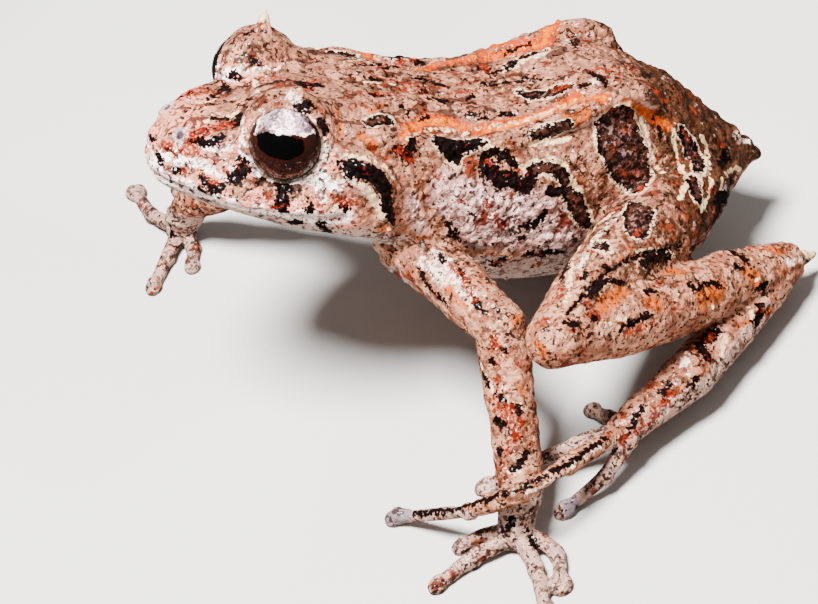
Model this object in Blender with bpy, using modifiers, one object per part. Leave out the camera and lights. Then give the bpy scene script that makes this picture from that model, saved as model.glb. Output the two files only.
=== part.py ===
"""A small rain frog at life size, standing alert on its four feet.

The animal is modelled whole, in millimetres, as lofts, bent tubes and balls that are fused
into one skin, and is then parted at its joints by thin cuts and brought to metres.
World axes: -X is the way the frog faces, -Y its left side, +Z up, the floor at z = 0.
Body axes (a, b, c): a forward from the vent, b to the frog's left, c up from the back line.
"""

import math

import bmesh
import bpy
import numpy as np
from mathutils import Matrix, Vector
from mathutils.bvhtree import BVHTree

MM = 0.001
SLIVER = 0.00001

# Stance of the trunk on the floor
BODY_PITCH = math.radians(14.93)
BODY_ROLL = math.radians(5.71)
VENT_HEIGHT = 3.73

# Gap between neighbouring nodes, and how far a fold's cut runs out past its joint
CUT = 0.3
CUT_WIDE = 0.318
FOLD_OVERSHOOT = 1.4
FOLD_TIP = 4.0
FOLD_TIP_HEIGHT = 2.9

# Head
EYE_FORWARD = 20.42
EYE_OUT = 2.80
EYE_UP = 5.50
EYE_RADIUS = 1.56
LID_RADIUS = 1.96
NOSTRIL = (24.45, 1.05, 5.15)
NOSTRIL_RADIUS = 0.2

LOOK_WAY = (0.40, 0.90, -0.14)
EYE_BULGE = 0.32
SOCKET_RADIUS = EYE_RADIUS + 0.2
RIM_RING = 1.68
RIM_THICK = 0.19
RIM_OUT = 1.14
LIP_LINE = [(25.6, 0.0, 3.45), (25.2, 0.75, 3.42), (24.4, 1.8, 3.3), (23.2, 3.0, 3.12), (21.4, 4.1, 2.92),
            (19.6, 4.8, 2.75), (18.7, 4.9, 2.72)]
GROOVE = 0.13

# Leg sizes
UPPER_ARM_RADIUS = 1.22
FOREARM_RADIUS = 1.0
WRIST_RADIUS = 0.86
FINGER_RADIUS = 0.33
THIGH_RADIUS = 1.95
SHANK_RADIUS = 1.55
TARSUS_RADIUS = 1.02
TOE_RADIUS = 0.31
DISC_RADIUS = 0.43

# Fusing and facing
VOXEL = 0.115
TRIANGLES = 11000

# Level of the flats under hands and feet, and the block that cuts them
SOLE_LEVEL = 0.13
SOLE_CUT = 2.0
FLOOR_SPAN = 60.0


def body_matrix() -> Matrix:
    """Return the matrix that takes body axes (a, b, c) to world millimetres."""
    up = Vector((math.sin(BODY_PITCH), math.cos(BODY_PITCH) * math.sin(BODY_ROLL),
                 math.cos(BODY_PITCH) * math.cos(BODY_ROLL)))
    forward = Vector((1.0, 0.0, 0.0))
    forward = (forward - up * forward.dot(up)).normalized()
    left = up.cross(forward)
    return Matrix((
        (-forward.x, -forward.y, -forward.z, 0.0),
        (-left.x, -left.y, -left.z, 0.0),
        (up.x, up.y, up.z, VENT_HEIGHT),
        (0.0, 0.0, 0.0, 1.0),
    ))


BODY = body_matrix()


def world(point: tuple[float, float, float]) -> Vector:
    """Return the world position of a point given in body axes."""
    return BODY @ Vector(point)


def clear_scene() -> None:
    """Remove every object that the open file holds."""
    for old in list(bpy.data.objects):
        bpy.data.objects.remove(old, do_unlink=True)


def new_collection(name: str) -> bpy.types.Collection:
    """Make a collection under the scene."""
    made = bpy.data.collections.new(name)
    bpy.context.scene.collection.children.link(made)
    return made


def mesh_object(name: str, vertices: list, faces: list, home: bpy.types.Collection):
    """Make a mesh object from vertices and faces and put it in a collection."""
    mesh = bpy.data.meshes.new(name)
    mesh.from_pydata([tuple(v) for v in vertices], [], faces)
    mesh.update()
    made = bpy.data.objects.new(name, mesh)
    home.objects.link(made)
    return made


def smooth_rows(rows: list[tuple[float, ...]], steps: int) -> list[np.ndarray]:
    """Fill in between the rows with Catmull-Rom curves, `steps` to a span."""
    data = np.array(rows, dtype=float)
    padded = np.vstack([2 * data[0] - data[1], data, 2 * data[-1] - data[-2]])
    filled = []
    for i in range(1, len(padded) - 2):
        p0, p1, p2, p3 = padded[i - 1:i + 3]
        for k in range(steps):
            t = k / steps
            filled.append(0.5 * (2 * p1 + (p2 - p0) * t + (2 * p0 - 5 * p1 + 4 * p2 - p3) * t * t
                                 + (3 * p1 - p0 - 3 * p2 + p3) * t ** 3))
    filled.append(data[-1])
    return filled


def section_ring(row: np.ndarray, sides: int) -> list[Vector]:
    """Return one cross-section of the trunk or head in world millimetres.

    A row holds: forward, half width, top, bottom, height of the widest line,
    roundness of the upper half, roundness of the lower half (2 is an ellipse).
    """
    a, half, top, bottom, widest, round_up, round_down = row
    points = []
    for k in range(sides):
        angle = 2 * math.pi * k / sides
        c, s = math.cos(angle), math.sin(angle)
        power = round_up if s >= 0 else round_down
        reach = top - widest if s >= 0 else widest - bottom
        b = half * math.copysign(abs(c) ** (2 / power), c)
        z = widest + reach * math.copysign(abs(s) ** (2 / power), s)
        points.append(world((a, b, z)))
    return points


def loft(name: str, rows: list[tuple[float, ...]], home: bpy.types.Collection):
    """Skin a closed body over smoothed cross-sections, with fanned ends."""
    sides = 56
    rings = [section_ring(row, sides) for row in smooth_rows(rows, 6)]
    vertices = [point for ring in rings for point in ring]
    faces = []
    for r in range(len(rings) - 1):
        for k in range(sides):
            n = (k + 1) % sides
            faces.append((r * sides + k, r * sides + n, (r + 1) * sides + n, (r + 1) * sides + k))
    for r, flip in ((0, True), (len(rings) - 1, False)):
        centre = sum(rings[r], Vector()) / sides
        vertices.append(centre)
        hub = len(vertices) - 1
        for k in range(sides):
            n = (k + 1) % sides
            fan = (r * sides + n, r * sides + k, hub)
            faces.append(fan if flip else fan[::-1])
    return mesh_object(name, vertices, faces, home)


def ball(name: str, centre: Vector, radii, home: bpy.types.Collection, aim: Vector = None):
    """Make an ellipsoid; `aim` turns its local X to that direction."""
    bpy.ops.mesh.primitive_uv_sphere_add(segments=24, ring_count=14, radius=1.0)
    made = bpy.context.object
    made.name = name
    size = (radii, radii, radii) if isinstance(radii, (int, float)) else radii
    turn = aim.to_track_quat("X", "Z").to_matrix().to_4x4() if aim is not None else Matrix()
    made.data.transform(Matrix.Translation(centre) @ turn @ Matrix.Diagonal((*size, 1.0)))
    for holder in list(made.users_collection):
        holder.objects.unlink(made)
    home.objects.link(made)
    return made


def tube(name: str, points: list[Vector], radii: list[float], home: bpy.types.Collection):
    """Make a bent round limb through the points, with a rounded end at each side."""
    rows = [(*p, r) for p, r in zip(points, radii)]
    path = smooth_rows(rows, 6)
    curve = bpy.data.curves.new(name, "CURVE")
    curve.dimensions = "3D"
    curve.bevel_depth = 1.0
    curve.bevel_resolution = 5
    curve.use_fill_caps = True
    spline = curve.splines.new("POLY")
    spline.points.add(len(path) - 1)
    for point, row in zip(spline.points, path):
        point.co = (row[0], row[1], row[2], 1.0)
        point.radius = row[3]
    holder = bpy.data.objects.new(name + "_path", curve)
    home.objects.link(holder)
    bpy.context.view_layer.update()
    mesh = bpy.data.meshes.new_from_object(holder.evaluated_get(bpy.context.evaluated_depsgraph_get()))
    bpy.data.objects.remove(holder, do_unlink=True)
    made = bpy.data.objects.new(name, mesh)
    home.objects.link(made)
    ball(name + "_start", Vector(path[0][:3]), float(path[0][3]), home)
    ball(name + "_end", Vector(path[-1][:3]), float(path[-1][3]), home)
    return made


# Cross-sections of the trunk, from the vent to inside the head
TRUNK = [
    (-0.3, 0.35, 0.55, -0.35, 0.1, 2.0, 2.0),
    (1.2, 1.9, 2.0, -1.7, 0.2, 2.0, 2.0),
    (3.0, 2.9, 3.7, -2.5, 0.6, 2.1, 2.0),
    (5.0, 3.5, 5.0, -3.1, 1.0, 2.4, 2.0),
    (6.8, 3.9, 5.7, -3.5, 1.2, 2.8, 2.0),
    (9.0, 4.4, 5.3, -3.7, 1.0, 2.7, 2.1),
    (12.0, 4.65, 5.0, -3.2, 1.0, 2.6, 2.1),
    (14.6, 4.6, 5.3, -1.9, 1.5, 2.7, 2.1),
    (16.8, 4.8, 6.0, -0.4, 2.2, 3.0, 2.1),
    (19.0, 4.3, 6.0, 0.8, 2.8, 2.6, 2.2),
]

# Cross-sections of the head, from inside the neck to the snout
HEAD = [
    (16.2, 3.9, 5.4, 0.0, 2.4, 2.4, 2.2),
    (17.6, 4.85, 6.2, 0.1, 2.9, 2.8, 2.2),
    (19.0, 4.9, 6.35, 0.6, 3.1, 2.5, 2.3),
    (20.6, 4.4, 6.1, 1.2, 3.2, 2.3, 2.4),
    (22.2, 3.55, 5.75, 1.7, 3.3, 2.4, 2.4),
    (23.6, 2.6, 5.55, 2.1, 3.5, 2.5, 2.4),
    (24.5, 1.85, 5.3, 2.45, 3.7, 2.4, 2.3),
    (25.2, 1.05, 4.85, 2.95, 3.85, 2.2, 2.2),
    (25.5, 0.3, 4.3, 3.5, 3.9, 2.0, 2.0),
]


def build_trunk(home: bpy.types.Collection) -> None:
    """Model the trunk with its back folds, sacral corners and vent."""
    loft("trunk", TRUNK, home)
    for side in (1, -1):
        fold = [(18.4, 3.45, 5.4), (16.6, 3.6, 5.1), (14.6, 3.5, 4.5), (12.2, 3.4, 4.25), (9.4, 3.2, 4.6),
                (6.4, 2.9, 5.35), (4.9, 2.2, 4.3)]
        tube("back_fold", [world((a, b * side, c)) for a, b, c in fold],
             [0.25, 0.5, 0.45, 0.42, 0.42, 0.5, 0.25], home)
        tube("shoulder_mass", [world((16.0, 3.1 * side, 0.5)), world((14.8, 3.4 * side, 0.5))],
             [1.1, 1.4], home)
    tube("vent_tip", [world((1.4, 0.0, 0.5)), world((0.2, 0.0, 0.3)), world((-0.35, 0.0, 0.0))],
         [0.9, 0.6, 0.35], home)


def look_way(side: int) -> Vector:
    """Return the world direction that an eye faces; side 1 is left, -1 is right."""
    a, b, c = LOOK_WAY
    return (world((a, b * side, c)) - world((0.0, 0.0, 0.0))).normalized()


def eye_centre(side: int) -> Vector:
    """Return the world centre of an eyeball."""
    return world((EYE_FORWARD, EYE_OUT * side, EYE_UP)) + look_way(side) * EYE_BULGE


def ring(name: str, centre: Vector, way: Vector, major: float, minor: float, home: bpy.types.Collection):
    """Make a torus that faces `way`."""
    bpy.ops.mesh.primitive_torus_add(major_segments=40, minor_segments=12, major_radius=major,
                                     minor_radius=minor)
    made = bpy.context.object
    made.name = name
    made.data.transform(Matrix.Translation(centre) @ way.to_track_quat("Z", "Y").to_matrix().to_4x4())
    for holder in list(made.users_collection):
        holder.objects.unlink(made)
    home.objects.link(made)
    return made


def build_head(home: bpy.types.Collection) -> None:
    """Model the head with lid domes, lid cones, canthus, lips and the folds behind the eyes."""
    loft("head", HEAD, home)
    for side in (1, -1):
        eye = world((EYE_FORWARD, EYE_OUT * side, EYE_UP))
        ball("lid_dome", eye, LID_RADIUS, home)
        ring("lid_rim", eye + look_way(side) * RIM_OUT, look_way(side), RIM_RING, RIM_THICK, home)
        ball("brow", world((EYE_FORWARD - 1.3, 2.2 * side, 5.2)), 1.45, home)
        root = world((EYE_FORWARD - 0.3, (EYE_OUT + 0.1) * side, EYE_UP + LID_RADIUS - 0.35))
        tip = world((EYE_FORWARD - 0.5, (EYE_OUT + 0.45) * side, EYE_UP + LID_RADIUS + 0.45))
        tube("lid_cone", [root, root.lerp(tip, 0.5), tip], [0.5, 0.3, 0.12], home)
        tube("canthus", [world((22.3, 2.15 * side, 5.15)), world((23.4, 1.5 * side, 5.05)),
                         world((24.4, 0.95 * side, 4.85))], [0.55, 0.5, 0.4], home)
        upper_lip = [(25.25, 0.4, 3.8), (24.6, 1.6, 3.7), (23.3, 2.9, 3.5), (21.4, 4.05, 3.3),
                     (19.4, 4.75, 3.1)]
        tube("upper_lip", [world((a, b * side, c)) for a, b, c in upper_lip],
             [0.3, 0.34, 0.36, 0.36, 0.3], home)
        fold = [(18.6, 4.15, 5.2), (17.7, 4.45, 4.9), (16.9, 4.6, 3.9), (16.7, 4.55, 2.7)]
        tube("temple_fold", [world((a, b * side, c)) for a, b, c in fold], [0.3, 0.42, 0.42, 0.3], home)


# Joint positions in world millimetres, left side
SHOULDER_L = Vector((-14.9, -3.3, 8.0))
ELBOW_L = Vector((-12.9, -8.5, 6.9))
WRIST_L = Vector((-14.25, -12.5, 2.3))
PALM_L = Vector((-15.2, -13.5, 0.72))
HIP_L = Vector((-3.1, -2.5, 5.15))
KNEE_L = Vector((-11.25, -10.6, 7.05))
HEEL_L = Vector((-0.48, -5.35, 1.9))
TARSAL_L = Vector((-6.1, -9.6, 1.88))
TOE_ROOT_L = Vector((-9.6, -11.4, 1.9))

# Joint positions in world millimetres, right side
SHOULDER_R = Vector((-15.2, 3.4, 7.4))
ELBOW_R = Vector((-18.7, 7.8, 5.7))
WRIST_R = Vector((-22.4, 11.6, 2.3))
PALM_R = Vector((-23.2, 12.2, 0.75))
HIP_R = Vector((-3.6, 2.3, 4.1))
KNEE_R = Vector((-11.8, 9.2, 5.1))
HEEL_R = Vector((-0.7, 5.5, 1.6))
TARSAL_R = Vector((-6.6, 9.5, 1.1))
TOE_ROOT_R = Vector((-9.7, 11.6, 0.85))


def digit(name: str, points: list[Vector], thick: float, disc: float, home: bpy.types.Collection) -> None:
    """Model one finger or toe that ends in a small flattened disc."""
    count = len(points)
    radii = [thick * (1.15 - 0.25 * i / (count - 1)) for i in range(count)]
    tube(name, points, radii, home)
    aim = points[-1] - points[-2]
    ball(name + "_disc", points[-1] + aim.normalized() * disc * 0.3, (disc * 1.15, disc, disc * 0.72), home, aim)


def build_arm(side: str, shoulder: Vector, elbow: Vector, wrist: Vector, palm: Vector,
              home: bpy.types.Collection) -> None:
    """Model the upper arm, the forearm and the palm of one side."""
    middle = shoulder.lerp(elbow, 0.5)
    tube("upper_arm_" + side, [shoulder, middle, elbow],
         [UPPER_ARM_RADIUS * 1.1, UPPER_ARM_RADIUS, FOREARM_RADIUS * 1.02], home)
    middle = elbow.lerp(wrist, 0.4)
    tube("forearm_" + side, [elbow, middle, wrist],
         [FOREARM_RADIUS * 1.02, FOREARM_RADIUS * 1.04, WRIST_RADIUS], home)
    tube("palm_" + side, [wrist, palm], [WRIST_RADIUS, 0.72], home)


def build_leg(side: str, hip: Vector, knee: Vector, heel: Vector, tarsal: Vector, toe_root: Vector,
              home: bpy.types.Collection) -> None:
    """Model the thigh, shank, tarsus and sole of one side."""
    tube("thigh_" + side, [hip, hip.lerp(knee, 0.35), hip.lerp(knee, 0.75), knee],
         [1.75, THIGH_RADIUS, THIGH_RADIUS * 0.8, 1.15], home)
    tube("shank_" + side, [knee, knee.lerp(heel, 0.3), knee.lerp(heel, 0.7), heel],
         [1.15, SHANK_RADIUS, SHANK_RADIUS * 0.84, 0.95], home)
    tube("tarsus_" + side, [heel, heel.lerp(tarsal, 0.5), tarsal],
         [0.95, TARSUS_RADIUS, TARSUS_RADIUS], home)
    tube("sole_" + side, [tarsal, toe_root], [TARSUS_RADIUS, 0.66], home)
    back = (heel - knee).normalized()
    tube("heel_spur_" + side, [heel + back * 0.4, heel + back * 1.2, heel + back * 1.85],
         [0.62, 0.34, 0.12], home)


def build_hands(home: bpy.types.Collection) -> None:
    """Model the fingers of both hands."""
    left = {
        "finger_1_l": [(-15.4, -13.1, 0.62), (-16.4, -12.75, 0.45), (-17.2, -12.75, 0.33)],
        "finger_2_l": [(-15.5, -13.6, 0.66), (-17.2, -13.8, 0.5), (-18.7, -14.3, 0.33)],
        "finger_3_l": [(-15.1, -13.8, 0.66), (-15.0, -15.6, 0.55), (-15.3, -17.6, 0.33)],
        "finger_4_l": [(-14.8, -13.6, 0.66), (-14.0, -15.1, 0.5), (-14.3, -16.5, 0.33)],
    }
    right = {
        "finger_1_r": [(-23.1, 11.9, 0.62), (-23.0, 11.0, 0.45), (-23.3, 10.0, 0.33)],
        "finger_2_r": [(-23.4, 12.0, 0.66), (-24.2, 10.9, 0.5), (-25.2, 9.5, 0.33)],
        "finger_3_r": [(-23.4, 12.5, 0.66), (-24.2, 14.2, 0.5), (-24.5, 16.2, 0.33)],
        "finger_4_r": [(-23.1, 12.5, 0.66), (-22.9, 13.9, 0.5), (-22.6, 15.3, 0.33)],
    }
    for name, points in {**left, **right}.items():
        disc = DISC_RADIUS * (1.15 if name[7] in "34" else 0.9)
        digit(name, [Vector(p) for p in points], FINGER_RADIUS, disc, home)


def build_feet(home: bpy.types.Collection) -> None:
    """Model the toes of both feet."""
    left = {
        "toe_1_l": [(-8.8, -10.6, 1.5), (-8.2, -9.6, 0.8), (-8.4, -8.6, 0.33)],
        "toe_2_l": [(-9.4, -10.9, 1.6), (-9.7, -9.6, 1.0), (-10.1, -8.0, 0.33)],
        "toe_3_l": [(-9.8, -11.2, 1.75), (-12.0, -10.8, 1.5), (-13.8, -10.3, 0.9), (-15.3, -10.0, 0.33)],
        "toe_4_l": [(-9.8, -11.6, 1.95), (-12.4, -13.2, 2.95), (-14.5, -14.05, 3.25), (-16.6, -12.8, 2.1),
                    (-19.2, -9.9, 0.33)],
        "toe_5_l": [(-9.6, -11.9, 1.75), (-11.0, -12.6, 1.1), (-12.8, -12.8, 0.33)],
    }
    right = {
        "toe_1_r": [(-9.3, 11.1, 0.62), (-9.9, 10.1, 0.45), (-10.9, 9.3, 0.33)],
        "toe_2_r": [(-9.9, 11.3, 0.66), (-11.5, 10.6, 0.5), (-13.0, 9.8, 0.33)],
        "toe_3_r": [(-10.1, 11.6, 0.7), (-12.6, 11.8, 0.55), (-15.3, 11.6, 0.33)],
        "toe_4_r": [(-10.1, 11.9, 0.7), (-13.4, 13.4, 0.6), (-16.4, 14.3, 0.45), (-18.9, 14.4, 0.33)],
        "toe_5_r": [(-9.7, 12.2, 0.66), (-11.4, 14.0, 0.5), (-13.2, 15.6, 0.33)],
    }
    for name, points in {**left, **right}.items():
        disc = DISC_RADIUS * (0.95 if name[4] in "12" else 1.1)
        digit(name, [Vector(p) for p in points], TOE_RADIUS, disc, home)


def apply_all(made) -> None:
    """Bake an object's modifiers into its mesh."""
    bpy.context.view_layer.update()
    graph = bpy.context.evaluated_depsgraph_get()
    baked = bpy.data.meshes.new_from_object(made.evaluated_get(graph))
    made.modifiers.clear()
    old = made.data
    made.data = baked
    bpy.data.meshes.remove(old)


def fuse(source: bpy.types.Collection, home: bpy.types.Collection):
    """Join all forms of a collection into one closed skin."""
    vertices = []
    faces = []
    for made in list(source.objects):
        offset = len(vertices)
        vertices.extend(v.co.copy() for v in made.data.vertices)
        faces.extend(tuple(i + offset for i in p.vertices) for p in made.data.polygons)
        bpy.data.objects.remove(made, do_unlink=True)
    skin = mesh_object("skin", vertices, faces, home)
    remesh = skin.modifiers.new("fuse", "REMESH")
    remesh.mode = "VOXEL"
    remesh.voxel_size = VOXEL
    relax = skin.modifiers.new("relax", "SMOOTH")
    relax.factor = 0.5
    relax.iterations = 5
    apply_all(skin)
    return skin


def cut_away(skin, cutter, keep: bool = False) -> None:
    """Subtract a closed cutter from the skin."""
    cut = skin.modifiers.new("cut", "BOOLEAN")
    cut.operation = "DIFFERENCE"
    cut.solver = "EXACT"
    cut.object = cutter
    apply_all(skin)
    if not keep:
        bpy.data.objects.remove(cutter, do_unlink=True)


def slab(name: str, centre: Vector, normal: Vector, along: Vector, length: float, height: float,
         home: bpy.types.Collection, thick: float = CUT):
    """Make a thin box that parts the body: `normal` is its thin way, `along` its long way."""
    n = normal.normalized()
    u = (along - n * along.dot(n)).normalized()
    w = n.cross(u)
    bpy.ops.mesh.primitive_cube_add(size=1.0)
    made = bpy.context.object
    made.name = name
    turn = Matrix((
        (u.x * length, w.x * height, n.x * thick, centre.x),
        (u.y * length, w.y * height, n.y * thick, centre.y),
        (u.z * length, w.z * height, n.z * thick, centre.z),
        (0.0, 0.0, 0.0, 1.0),
    ))
    made.data.transform(turn)
    for holder in list(made.users_collection):
        holder.objects.unlink(made)
    home.objects.link(made)
    return made


def fold_slabs(name: str, tip: Vector, near: Vector, far: Vector, reach: float, height: float,
               home: bpy.types.Collection) -> list:
    """Make the thin cuts that halve the angle at a folded joint, narrow at its tip, wider inwards."""
    u = (near - tip).normalized()
    v = (far - tip).normalized()
    along = (u + v).normalized()
    normal = (u - v).normalized()
    start = slab(name + "_tip", tip + along * (FOLD_TIP / 2 - FOLD_OVERSHOOT), normal, along,
                 FOLD_TIP, FOLD_TIP_HEIGHT, home, CUT_WIDE)
    rest = slab(name, tip + along * (reach / 2 + 0.6), normal, along, reach, height, home)
    return [start, rest]


def cut_joints(skin, home: bpy.types.Collection) -> None:
    """Part the skin at the neck and at every joint of the legs."""
    forward = (world((1.0, 0.0, 0.0)) - world((0.0, 0.0, 0.0))).normalized()
    up = (world((0.0, 0.0, 1.0)) - world((0.0, 0.0, 0.0))).normalized()
    lean = (forward * 0.995 - up * 0.1).normalized()
    cuts = [slab("cut_neck", world((17.67, 0.0, 4.2)), lean, up, 7.6, 11.4, home),
            slab("cut_throat", world((17.27, 0.0, 0.2)), lean, up, 4.4, 7.4, home, CUT_WIDE)]
    arms = {
        "l": (SHOULDER_L, ELBOW_L, WRIST_L, PALM_L),
        "r": (SHOULDER_R, ELBOW_R, WRIST_R, PALM_R),
    }
    for side, (shoulder, elbow, wrist, palm) in arms.items():
        way = (elbow - shoulder).normalized()
        cuts.append(slab("cut_shoulder_" + side, shoulder + way * 2.0, way, up, 3.9, 3.4, home))
        way = ((elbow - shoulder).normalized() + (wrist - elbow).normalized()).normalized()
        cuts.append(slab("cut_elbow_" + side, elbow, way, up, 3.0, 3.0, home))
        way = (wrist - elbow).normalized()
        cuts.append(slab("cut_wrist_" + side, wrist - way * 0.15, way, up, 2.5, 2.5, home))
    legs = {
        "l": (1, HIP_L, KNEE_L, HEEL_L, TARSAL_L, TOE_ROOT_L),
        "r": (-1, HIP_R, KNEE_R, HEEL_R, TARSAL_R, TOE_ROOT_R),
    }
    for side, (sign, hip, knee, heel, tarsal, toe_root) in legs.items():
        flank = world((8.0, 4.45 * sign, 0.0)) - world((0.4, 2.3 * sign, 0.0))
        outward = flank.cross(up)
        centre = world((5.2, 3.8 * sign, 0.2))
        cuts.append(slab("cut_hip_" + side, centre, outward, flank, 13.6, 9.4, home))
        cuts.extend(fold_slabs("cut_knee_" + side, knee, hip, heel, 10.8, 4.8, home))
        cuts.extend(fold_slabs("cut_heel_" + side, heel, knee, tarsal, 7.2, 3.2, home))
        way = (toe_root - tarsal).normalized()
        cuts.append(slab("cut_tarsal_" + side, tarsal, way, Vector((0.0, 0.0, 1.0)), 2.9, 2.9, home))
    for cutter in cuts:
        cut_away(skin, cutter)


def flatten_soles(skin, home: bpy.types.Collection) -> None:
    """Cut what reaches lowest to small flats at one level."""
    up = Vector((0.0, 0.0, 1.0))
    middle = Vector((-12.0, 0.0, SOLE_LEVEL - SOLE_CUT / 2))
    cut_away(skin, slab("floor_level", middle, up, Vector((1.0, 0.0, 0.0)), FLOOR_SPAN, FLOOR_SPAN, home, SOLE_CUT))


def thin_out(skin) -> None:
    """Bring the skin down to its budget of triangles."""
    skin.data.update()
    thin = skin.modifiers.new("thin", "DECIMATE")
    thin.ratio = min(1.0, TRIANGLES / (2 * len(skin.data.vertices)))
    thin.use_collapse_triangulate = True
    apply_all(skin)


def open_eyes(skin, home: bpy.types.Collection) -> None:
    """Hollow both sockets and open the lids in front of the eyes."""
    for side in (1, -1):
        centre = eye_centre(side)
        cut_away(skin, ball("socket", centre, SOCKET_RADIUS, home))
        way = look_way(side)
        bpy.ops.mesh.primitive_cylinder_add(vertices=36, radius=RIM_RING - RIM_THICK, depth=3.0)
        opening = bpy.context.object
        opening.data.transform(Matrix.Translation(centre + way * 1.5)
                               @ way.to_track_quat("Z", "Y").to_matrix().to_4x4())
        cut_away(skin, opening)


def carve_face(skin, home: bpy.types.Collection) -> None:
    """Sink the line of the mouth and the nostrils into the head."""
    tree = BVHTree.FromPolygons([v.co for v in skin.data.vertices], [p.vertices for p in skin.data.polygons])
    line = [(a, b, c) for a, b, c in reversed(LIP_LINE)] + [(a, -b, c) for a, b, c in LIP_LINE[1:]]
    surface = []
    for row in smooth_rows(line, 2):
        near = tree.find_nearest(world(tuple(row)))[0]
        surface.append(near)
    groove = home_tube("mouth_line", surface, [GROOVE] * len(surface), home)
    cut_away(skin, groove)
    for side in (1, -1):
        a, b, c = NOSTRIL
        near, outward = tree.find_nearest(world((a, b * side, c)))[:2]
        cut_away(skin, ball("nostril", near + outward * 0.02, NOSTRIL_RADIUS, home))


def home_tube(name: str, points: list[Vector], radii: list[float], home: bpy.types.Collection):
    """Make one closed tube with pinched ends through many close points."""
    sides = 8
    vertices = []
    faces = []
    count = len(points)
    for i in range(count):
        way = (points[min(i + 1, count - 1)] - points[max(i - 1, 0)]).normalized()
        u = way.orthogonal().normalized() if i == 0 else (u - way * u.dot(way)).normalized()
        w = way.cross(u)
        for k in range(sides):
            angle = 2 * math.pi * k / sides
            vertices.append(points[i] + (u * math.cos(angle) + w * math.sin(angle)) * radii[i])
    for i in range(count - 1):
        for k in range(sides):
            n = (k + 1) % sides
            faces.append((i * sides + k, i * sides + n, (i + 1) * sides + n, (i + 1) * sides + k))
    faces.append(tuple(reversed(range(sides))))
    faces.append(tuple(range((count - 1) * sides, count * sides)))
    return mesh_object(name, vertices, faces, home)


ANCHORS = {
    "head": world((21.0, 0.0, 3.6)),
    "torso": world((9.0, 0.0, 1.2)),
    "upper_arm_left": SHOULDER_L.lerp(ELBOW_L, 0.65),
    "forearm_left": ELBOW_L.lerp(WRIST_L, 0.5),
    "hand_left": PALM_L + Vector((-0.3, -1.2, -0.2)),
    "upper_arm_right": SHOULDER_R.lerp(ELBOW_R, 0.65),
    "forearm_right": ELBOW_R.lerp(WRIST_R, 0.5),
    "hand_right": PALM_R + Vector((-0.3, 0.6, -0.2)),
    "thigh_left": HIP_L.lerp(KNEE_L, 0.55),
    "shank_left": KNEE_L.lerp(HEEL_L, 0.5),
    "tarsus_left": HEEL_L.lerp(TARSAL_L, 0.55),
    "foot_left": TOE_ROOT_L + Vector((-1.8, 0.0, -0.5)),
    "thigh_right": HIP_R.lerp(KNEE_R, 0.55),
    "shank_right": KNEE_R.lerp(HEEL_R, 0.5),
    "tarsus_right": HEEL_R.lerp(TARSAL_R, 0.55),
    "foot_right": TOE_ROOT_R + Vector((-1.8, 0.6, -0.3)),
}


def split_nodes(skin, home: bpy.types.Collection) -> list:
    """Separate the parted skin and give each node its name; scraps are dropped."""
    mesh = skin.data
    parent = list(range(len(mesh.vertices)))

    def root(i: int) -> int:
        while parent[i] != i:
            parent[i] = parent[parent[i]]
            i = parent[i]
        return i

    for edge in mesh.edges:
        a, b = root(edge.vertices[0]), root(edge.vertices[1])
        if a != b:
            parent[a] = b
    groups: dict[int, list[int]] = {}
    for i in range(len(mesh.vertices)):
        groups.setdefault(root(i), []).append(i)
    faces_of: dict[int, list] = {}
    for face in mesh.polygons:
        faces_of.setdefault(root(face.vertices[0]), []).append(tuple(face.vertices))
    pieces = sorted(((len(v), k) for k, v in groups.items() if len(v) > 60), reverse=True)
    centres = {}
    for _, key in pieces:
        points = np.array([mesh.vertices[i].co for i in groups[key]])
        centres[key] = Vector(0.5 * (points.min(axis=0) + points.max(axis=0)))
    nodes = []
    free = [key for _, key in pieces]
    for name, anchor in ANCHORS.items():
        key = min(free, key=lambda k: (centres[k] - anchor).length)
        free.remove(key)
        index = {old: new for new, old in enumerate(groups[key])}
        vertices = [mesh.vertices[i].co.copy() for i in groups[key]]
        faces = [tuple(index[i] for i in face) for face in faces_of[key]]
        nodes.append(mesh_object(name, vertices, faces, home))
    bpy.data.objects.remove(skin, do_unlink=True)
    return nodes


def colour(made, base: tuple[float, float, float], roughness: float) -> None:
    """Give an object its own plain material."""
    material = bpy.data.materials.new(made.name + "_skin")
    material.use_nodes = True
    shader = material.node_tree.nodes["Principled BSDF"]
    shader.inputs["Base Color"].default_value = (*base, 1.0)
    shader.inputs["Roughness"].default_value = roughness
    shader.inputs["Metallic"].default_value = 0.0
    made.data.materials.clear()
    made.data.materials.append(material)


def settle(nodes: list) -> Vector:
    """Centre the model over the origin, rest it at z = 0 and bring it to metres."""
    low = Vector((min(v.co[i] for n in nodes for v in n.data.vertices) for i in range(3)))
    high = Vector((max(v.co[i] for n in nodes for v in n.data.vertices) for i in range(3)))
    shift = Vector((-(low.x + high.x) / 2, -(low.y + high.y) / 2, -low.z))
    for node in nodes:
        node.data.transform(Matrix.Scale(MM, 4) @ Matrix.Translation(shift))
        node.data.update()
    return shift


def tidy(node) -> None:
    """Turn a node into clean triangles, without the slivers that the thin cuts leave."""
    for reach in (SLIVER, SLIVER / 2, SLIVER / 5, 0.0):
        work = bmesh.new()
        work.from_mesh(node.data)
        bmesh.ops.triangulate(work, faces=work.faces, quad_method="BEAUTY", ngon_method="BEAUTY")
        if reach > 0.0:
            bmesh.ops.remove_doubles(work, verts=work.verts, dist=reach)
            bmesh.ops.dissolve_degenerate(work, dist=reach, edges=work.edges)
            bmesh.ops.triangulate(work, faces=work.faces, quad_method="BEAUTY", ngon_method="BEAUTY")
        bmesh.ops.recalc_face_normals(work, faces=work.faces)
        closed = all(len(edge.link_faces) == 2 for edge in work.edges)
        whole = all(vertex.is_manifold for vertex in work.verts)
        if closed and whole:
            work.to_mesh(node.data)
            work.free()
            node.data.update()
            return
        work.free()


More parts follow.
